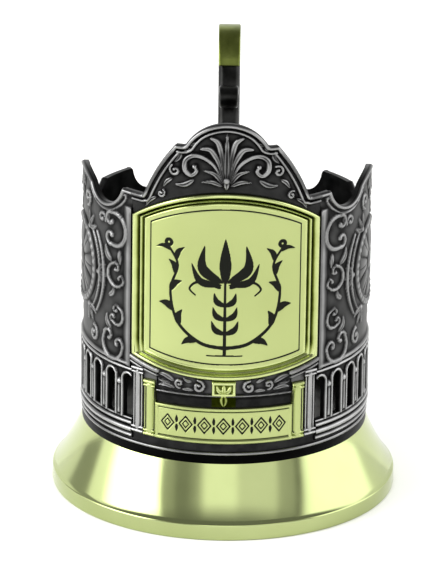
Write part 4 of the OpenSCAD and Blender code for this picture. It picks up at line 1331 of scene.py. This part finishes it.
def swept_bar(path, section):
    """Points and faces of a closed bar: a section carried along a side view's path.

    section gives its points, across the bar and outwards, from a share of the path's length.
    """
    outwards = left_of(unit(np.gradient(path, axis=0)))
    points = []
    for i, (at, out) in enumerate(zip(path, outwards)):
        points += [(across, *(at + out * lift)) for across, lift in section(i / (len(path) - 1))]
    count = len(points) // len(path)
    faces = band_faces(len(path), count, rows_closed=False)
    last = len(points) - count
    faces += [list(range(count)), list(range(last, last + count))[::-1]]
    return points, faces


def bar_section(width, thickness, corner):
    """A rounded rectangle, across and through the bar, counted so its faces look outwards."""
    half_w, half_t = width / 2 - corner, thickness / 2 - corner
    marks = []
    for sx, sy, start in ((1, 1, 0), (-1, 1, 90), (-1, -1, 180), (1, -1, 270)):
        marks += arc((sx * half_w, sy * half_t), corner, start, start + 90, 5)
    return marks


def strap_section(t):
    """The strap narrows a little towards its ends."""
    ease = 0.86 + 0.14 * math.sin(math.pi * t)
    return bar_section(HANDLE_W * ease, STRAP_W * ease, 1.5)


def curl_path(share):
    """A volute that springs from the strap's outer side at a share of its length."""
    i = handle_mark(share)
    out = left_of(unit(handle_path[i + 1] - handle_path[i - 1]))
    start = math.degrees(math.atan2(-out[1], -out[0]))
    return spiral(handle_path[i] + out * (STRAP_W / 2 + 3.3), 3.1, start, 440, 0.2, 40)


def curl_section(t):
    """A curl's ribbon, thinner towards its eye."""
    return bar_section(HANDLE_W * (0.92 - 0.2 * t), 2.1 - 0.9 * t, 0.5)


# %% The handle's pads
SEAM_R = 35.2
UPPER_PAD_Z, LOWER_PAD_Z, PAD_HALF_W, PAD_H = 62.05, 31.2, 6.2, 12.0


def behind(off):
    """The distance along the sleeve of a place that is off the middle of the back."""
    return along_at(180) + off * WRAP_R / SLEEVE_R


def pad_shell(middle):
    """A cushion-shaped pad, bent with the seam strip."""
    u, v = np.meshgrid(np.linspace(-1, 1, 22), np.linspace(-1, 1, 14))
    crown = 0.72 + 0.48 * (1 - np.abs(u) ** 6) * (1 - np.abs(v) ** 6)
    along, high = behind(u * PAD_HALF_W), middle + v * PAD_H / 2
    points = np.concatenate([wrap(SEAM_R + crown, along, high), wrap(SEAM_R, along, high)])
    return points.reshape(-1, 3), shell_faces(np.ones((13, 21), bool))


points, faces = [], []
for part_points, part_faces in (
        swept_bar(handle_path, strap_section), swept_bar(curl_path(0.21), curl_section),
        swept_bar(curl_path(0.79), curl_section), pad_shell(UPPER_PAD_Z), pad_shell(LOWER_PAD_Z)):
    faces += [[k + len(points) for k in face] for face in part_faces]
    points += list(part_points)
make_piece("cast_handle", points, faces, DARK_NICKEL, "dark_nickel", "handle", 40.0)

# %% [markdown]
# ## The thumb rest
# A strip of brass is brazed on the top of the strap, where the thumb presses. It is a
# little cushioned across, with its ends rounded off. A bent block could stand for it, but
# swept along a part of the handle's own path it fits the strap all the way.

# %% The brass thumb rest
rest_path = handle_path[handle_mark(0.27):handle_mark(0.458) + 1]
rest_path = rest_path + left_of(unit(np.gradient(rest_path, axis=0))) * (
    STRAP_W / 2 + THUMB_T / 2 - 0.1)


def rest_section(t):
    """The rest's section, thinner at both ends."""
    end = math.sin(math.pi * min(max(t, 0.02), 0.98)) ** 0.25
    return bar_section(HANDLE_W * (0.86 + 0.14 * end), (THUMB_T + 0.2) * end, 0.4)


points, faces = swept_bar(rest_path, rest_section)
make_piece("brass_thumb_rest", points, faces, MOULDED_BRASS, "polished_brass", "thumb_rest",
           rubbed=np.full(len(points), 0.46))

# %% [markdown]
# ## Rivets
# Four round-headed rivets hold the pads and three hold the floor. All are the same turned
# head and could be copied by hand. Geometry Nodes place a copy on each point of a small point
# mesh, turned to face along that point's own direction, so one list of places is all that
# changes. Realize Instances makes them real faces.

# %% A rivet head and a tree that repeats it
def rivet_head(name, radius, height):
    """A domed head that stands on the origin along +Z, as an object kept out of the scene."""
    profile = ([(0.0, -0.3), (radius * 0.96, -0.3), (radius, 0.0)]
               + [(radius * math.cos(a), height * math.sin(a))
                  for a in np.linspace(0.35, 1.3, 4)] + [(0.0, height)])
    points, faces = lathe(profile, 18, poles=True, start=0.0)
    mesh = bpy.data.meshes.new(name)
    mesh.from_pydata([tuple(p) for p in np.array(points) * MM], [], faces)
    return bpy.data.objects.new(name, mesh)


def repeat_tree(name, head, material):
    """A tree that puts a head on each point and turns it along the point's own way."""
    tree = bpy.data.node_groups.new(name, "GeometryNodeTree")
    tree.interface.new_socket("Geometry", in_out="INPUT", socket_type="NodeSocketGeometry")
    size = tree.interface.new_socket("Head size", in_out="INPUT", socket_type="NodeSocketFloat")
    tree.interface.new_socket("Geometry", in_out="OUTPUT", socket_type="NodeSocketGeometry")
    entry = add(tree, "NodeGroupInput").node.outputs
    model = add(tree, "GeometryNodeObjectInfo", {"Object": head}, out="Geometry")
    way = add(tree, "GeometryNodeInputNamedAttribute", {"Name": "way"}, out="Attribute",
              data_type="FLOAT_VECTOR")
    turn = add(tree, "FunctionNodeAlignRotationToVector", {"Vector": way}, axis="Z")
    copies = add(tree, "GeometryNodeInstanceOnPoints", {
        "Points": entry["Geometry"], "Instance": model, "Rotation": turn,
        "Scale": entry["Head size"]})
    real = add(tree, "GeometryNodeRealizeInstances", {"Geometry": copies})
    painted = add(tree, "GeometryNodeSetMaterial", {"Geometry": real, "Material": material})
    add(tree, "NodeGroupOutput", {"Geometry": painted})
    return tree, size.identifier


# %% The handle's rivets and the floor's
def place_rivets(name, places, ways, radius, height, node, material, slot):
    """Repeats a head with Geometry Nodes, keeps the plain mesh and puts it on the body."""
    head = rivet_head(name + "_head", radius, height)
    seeds = bpy.data.meshes.new(name + "_places")
    seeds.from_pydata([tuple(p) for p in np.array(places) * MM], [], [])
    layer = seeds.attributes.new("way", "FLOAT_VECTOR", "POINT")
    layer.data.foreach_set("vector", np.array(ways, np.float32).ravel())
    carrier = bpy.data.objects.new(name + "_carrier", seeds)
    bpy.context.collection.objects.link(carrier)
    modifier = carrier.modifiers.new("repeat", "NODES")
    modifier.node_group, size = repeat_tree(name, head, material)
    modifier[size] = 1.0
    bpy.context.view_layer.update()
    evaluated = carrier.evaluated_get(bpy.context.evaluated_depsgraph_get())
    mesh = bpy.data.meshes.new_from_object(evaluated)
    mesh.name = name
    bpy.data.objects.remove(carrier)
    bpy.data.objects.remove(head)
    add_piece(name, mesh, slot, node, 50.0)


RIVET_OFF, RIVET_SEAT_R = 4.5, 36.1
ways = [wrap(1.0, behind(side * RIVET_OFF), 0.0) for side in (-1, 1) for _ in range(2)]
places = [way * RIVET_SEAT_R + (0, 0, z) for way, z in zip(ways, 2 * [UPPER_PAD_Z, LOWER_PAD_Z])]
place_rivets("handle_rivet_heads", places, ways, 1.25, 0.75, "handle_rivets", BRIGHT_NICKEL,
             "bright_nickel")
FLOOR_RIVET_R = 28.0
FLANGE_LOW_Z = FOOT_TOP_Z - FOOT_WALL
places, ways = [], []
for degrees in (0, 120, 240):
    for z, up in ((FLOOR_Z - 0.05, 1), (FLANGE_LOW_Z, -1)):
        places.append((*around((0, 0), FLOOR_RIVET_R, degrees), z))
        ways.append((0, 0, up))
place_rivets("floor_rivet_heads", places, ways, 1.3, 0.35, "floor_rivets", FLOOR_NICKEL,
             "plain_nickel")

# %% [markdown]
# ## The studio
# The photograph is a cut-out on white: a pale floor with hardly a shadow. Polished brass
# shows what surrounds it, so the room matters more than the lamps: the foot mirrors a white
# softbox on the left, a dark gap, a grey middle, a second narrow gap and a broad window on
# the right. Cards on stands could make such a room. A world whose brightness follows the
# compass direction up to about 40 degrees, with a dim ceiling over it, is simpler to adjust
# and stays out of every view.

# %% The floor
stage_mesh = bpy.data.meshes.new("studio_floor")
stage_mesh.from_pydata([(-6, -6, 0), (6, -6, 0), (6, 6, 0), (-6, 6, 0)], [], [[0, 1, 2, 3]])
paper, tree = new_material("pale_studio_paper")
matt = add(tree, "ShaderNodeBsdfPrincipled", {
    "Base Color": linear("#F4F4F2"), "Roughness": 0.9, "Specular IOR Level": 0.1})
add(tree, "ShaderNodeOutputMaterial", {"Surface": matt})
stage_mesh.materials.append(paper)
stage = bpy.data.objects.new("studio_floor", stage_mesh)
bpy.context.collection.objects.link(stage)

# %% The room that the metal mirrors
# Degrees from the front, to the right positive, and the colour there
ROOM = [(-180, "#7C7C7C"), (-129, "#7C7C7C"), (-125, "#515151"), (-109, "#515151"),
        (-106, "#919191"), (-95, "#919191"), (-90, "#D8D8D8"), (-82, "#F0F0F0"),
        (-52, "#F0F0F0"), (-48, "#5E5E5E"), (-39, "#5A5A5A"), (-36, "#484848"),
        (-28, "#484848"), (-19, "#606060"), (-13, "#919191"), (9, "#919191"),
        (14, "#7C7C7C"), (42, "#7C7C7C"), (45, "#5E5E5E"), (57, "#5A5A5A"),
        (59, "#303030"), (62, "#303030"), (65, "#919191"), (70, "#A8A8A8"),
        (118, "#A8A8A8"), (124, "#7C7C7C"), (150, "#707070"), (180, "#7C7C7C")]
CEILING = "#3A3A3A"
WALL_TOP, CEILING_START = math.radians(38), math.radians(48)

world = bpy.data.worlds.new("soft_room")
bpy.context.scene.world = world
world.use_nodes = True
tree = world.node_tree
tree.nodes.clear()
way = add(tree, "ShaderNodeTexCoord", out="Generated")
parts = add(tree, "ShaderNodeSeparateXYZ", {"Vector": way}).node.outputs
towards = add(tree, "ShaderNodeMath", {0: parts["Y"], 1: -1.0}, operation="MULTIPLY")
turn = add(tree, "ShaderNodeMath", {0: parts["X"], 1: towards}, operation="ARCTAN2")
share = add(tree, "ShaderNodeMapRange", {
    "Value": turn, "From Min": -math.pi, "From Max": math.pi})
room = add(tree, "ShaderNodeValToRGB", {"Fac": share},
           stops=[(0.5 + degrees / 360, colour) for degrees, colour in ROOM])
above = add(tree, "ShaderNodeMapRange", {
    "Value": parts["Z"], "From Min": math.sin(WALL_TOP), "From Max": math.sin(CEILING_START)})
mixed = add(tree, "ShaderNodeMix", {"Factor": above, 6: room, 7: linear(CEILING)}, out=2,
            data_type="RGBA")
light = add(tree, "ShaderNodeBackground", {"Color": mixed, "Strength": 6.25})
add(tree, "ShaderNodeOutputWorld", {"Surface": light})
print("the room has", len(ROOM), "marks of brightness round it")

# %% Lamps for the paper alone
# The large one whitens the floor. The small one adds light on its left, which the front
# plate mirrors along its left side. The metal doesn't mirror the lamps themselves.
for name, size, energy, place in (("paper_light", 1.6, 18.0, (0, 0, 1.4)),
                                  ("left_paper_light", 0.1, 0.12, (-0.23, -0.1, 0.16))):
    lamp = bpy.data.lights.new(name, "AREA")
    lamp.shape = "SQUARE"
    lamp.size = size
    lamp.energy = energy
    paper_light = bpy.data.objects.new(name, lamp)
    paper_light.location = place
    paper_light.visible_glossy = False
    bpy.context.collection.objects.link(paper_light)

# %% [markdown]
# ## The camera
# The photograph was taken from the front, 20 degrees above the table, from far enough away
# that the holder shows almost no perspective. An orthographic camera would have none at all,
# so a long lens from far back is closer. The frame is the photograph's, and a very small
# shift puts the holder where it is there.

# %% The camera at the photograph's angle
PHOTO_H = 568
camera = bpy.data.objects.new("camera", bpy.data.cameras.new("camera"))
bpy.context.collection.objects.link(camera)
bpy.context.scene.camera = camera
elevation, azimuth, roll = math.radians(20.3), math.radians(0.15), math.radians(0.8)
target, distance = Vector((0, 0, 0.05)), 1.5
camera.data.lens, camera.data.sensor_width = 385.0, 36.0
camera.data.shift_x, camera.data.shift_y = -2.6 / PHOTO_H, 3.6 / PHOTO_H
camera.data.clip_start, camera.data.clip_end = 0.05, 50.0
sideways = Matrix.Rotation(azimuth, 3, "Z")
back = sideways @ Vector((0, -math.cos(elevation), math.sin(elevation)))
camera.location = target + back * distance
camera.rotation_euler = (sideways @ Matrix.Rotation(math.pi / 2 - elevation, 3, "X")
                         @ Matrix.Rotation(roll, 3, "Z")).to_euler()
bpy.context.scene.view_settings.view_transform = "Standard"
print("the camera is", round(camera.location.z, 3), "m above the table")
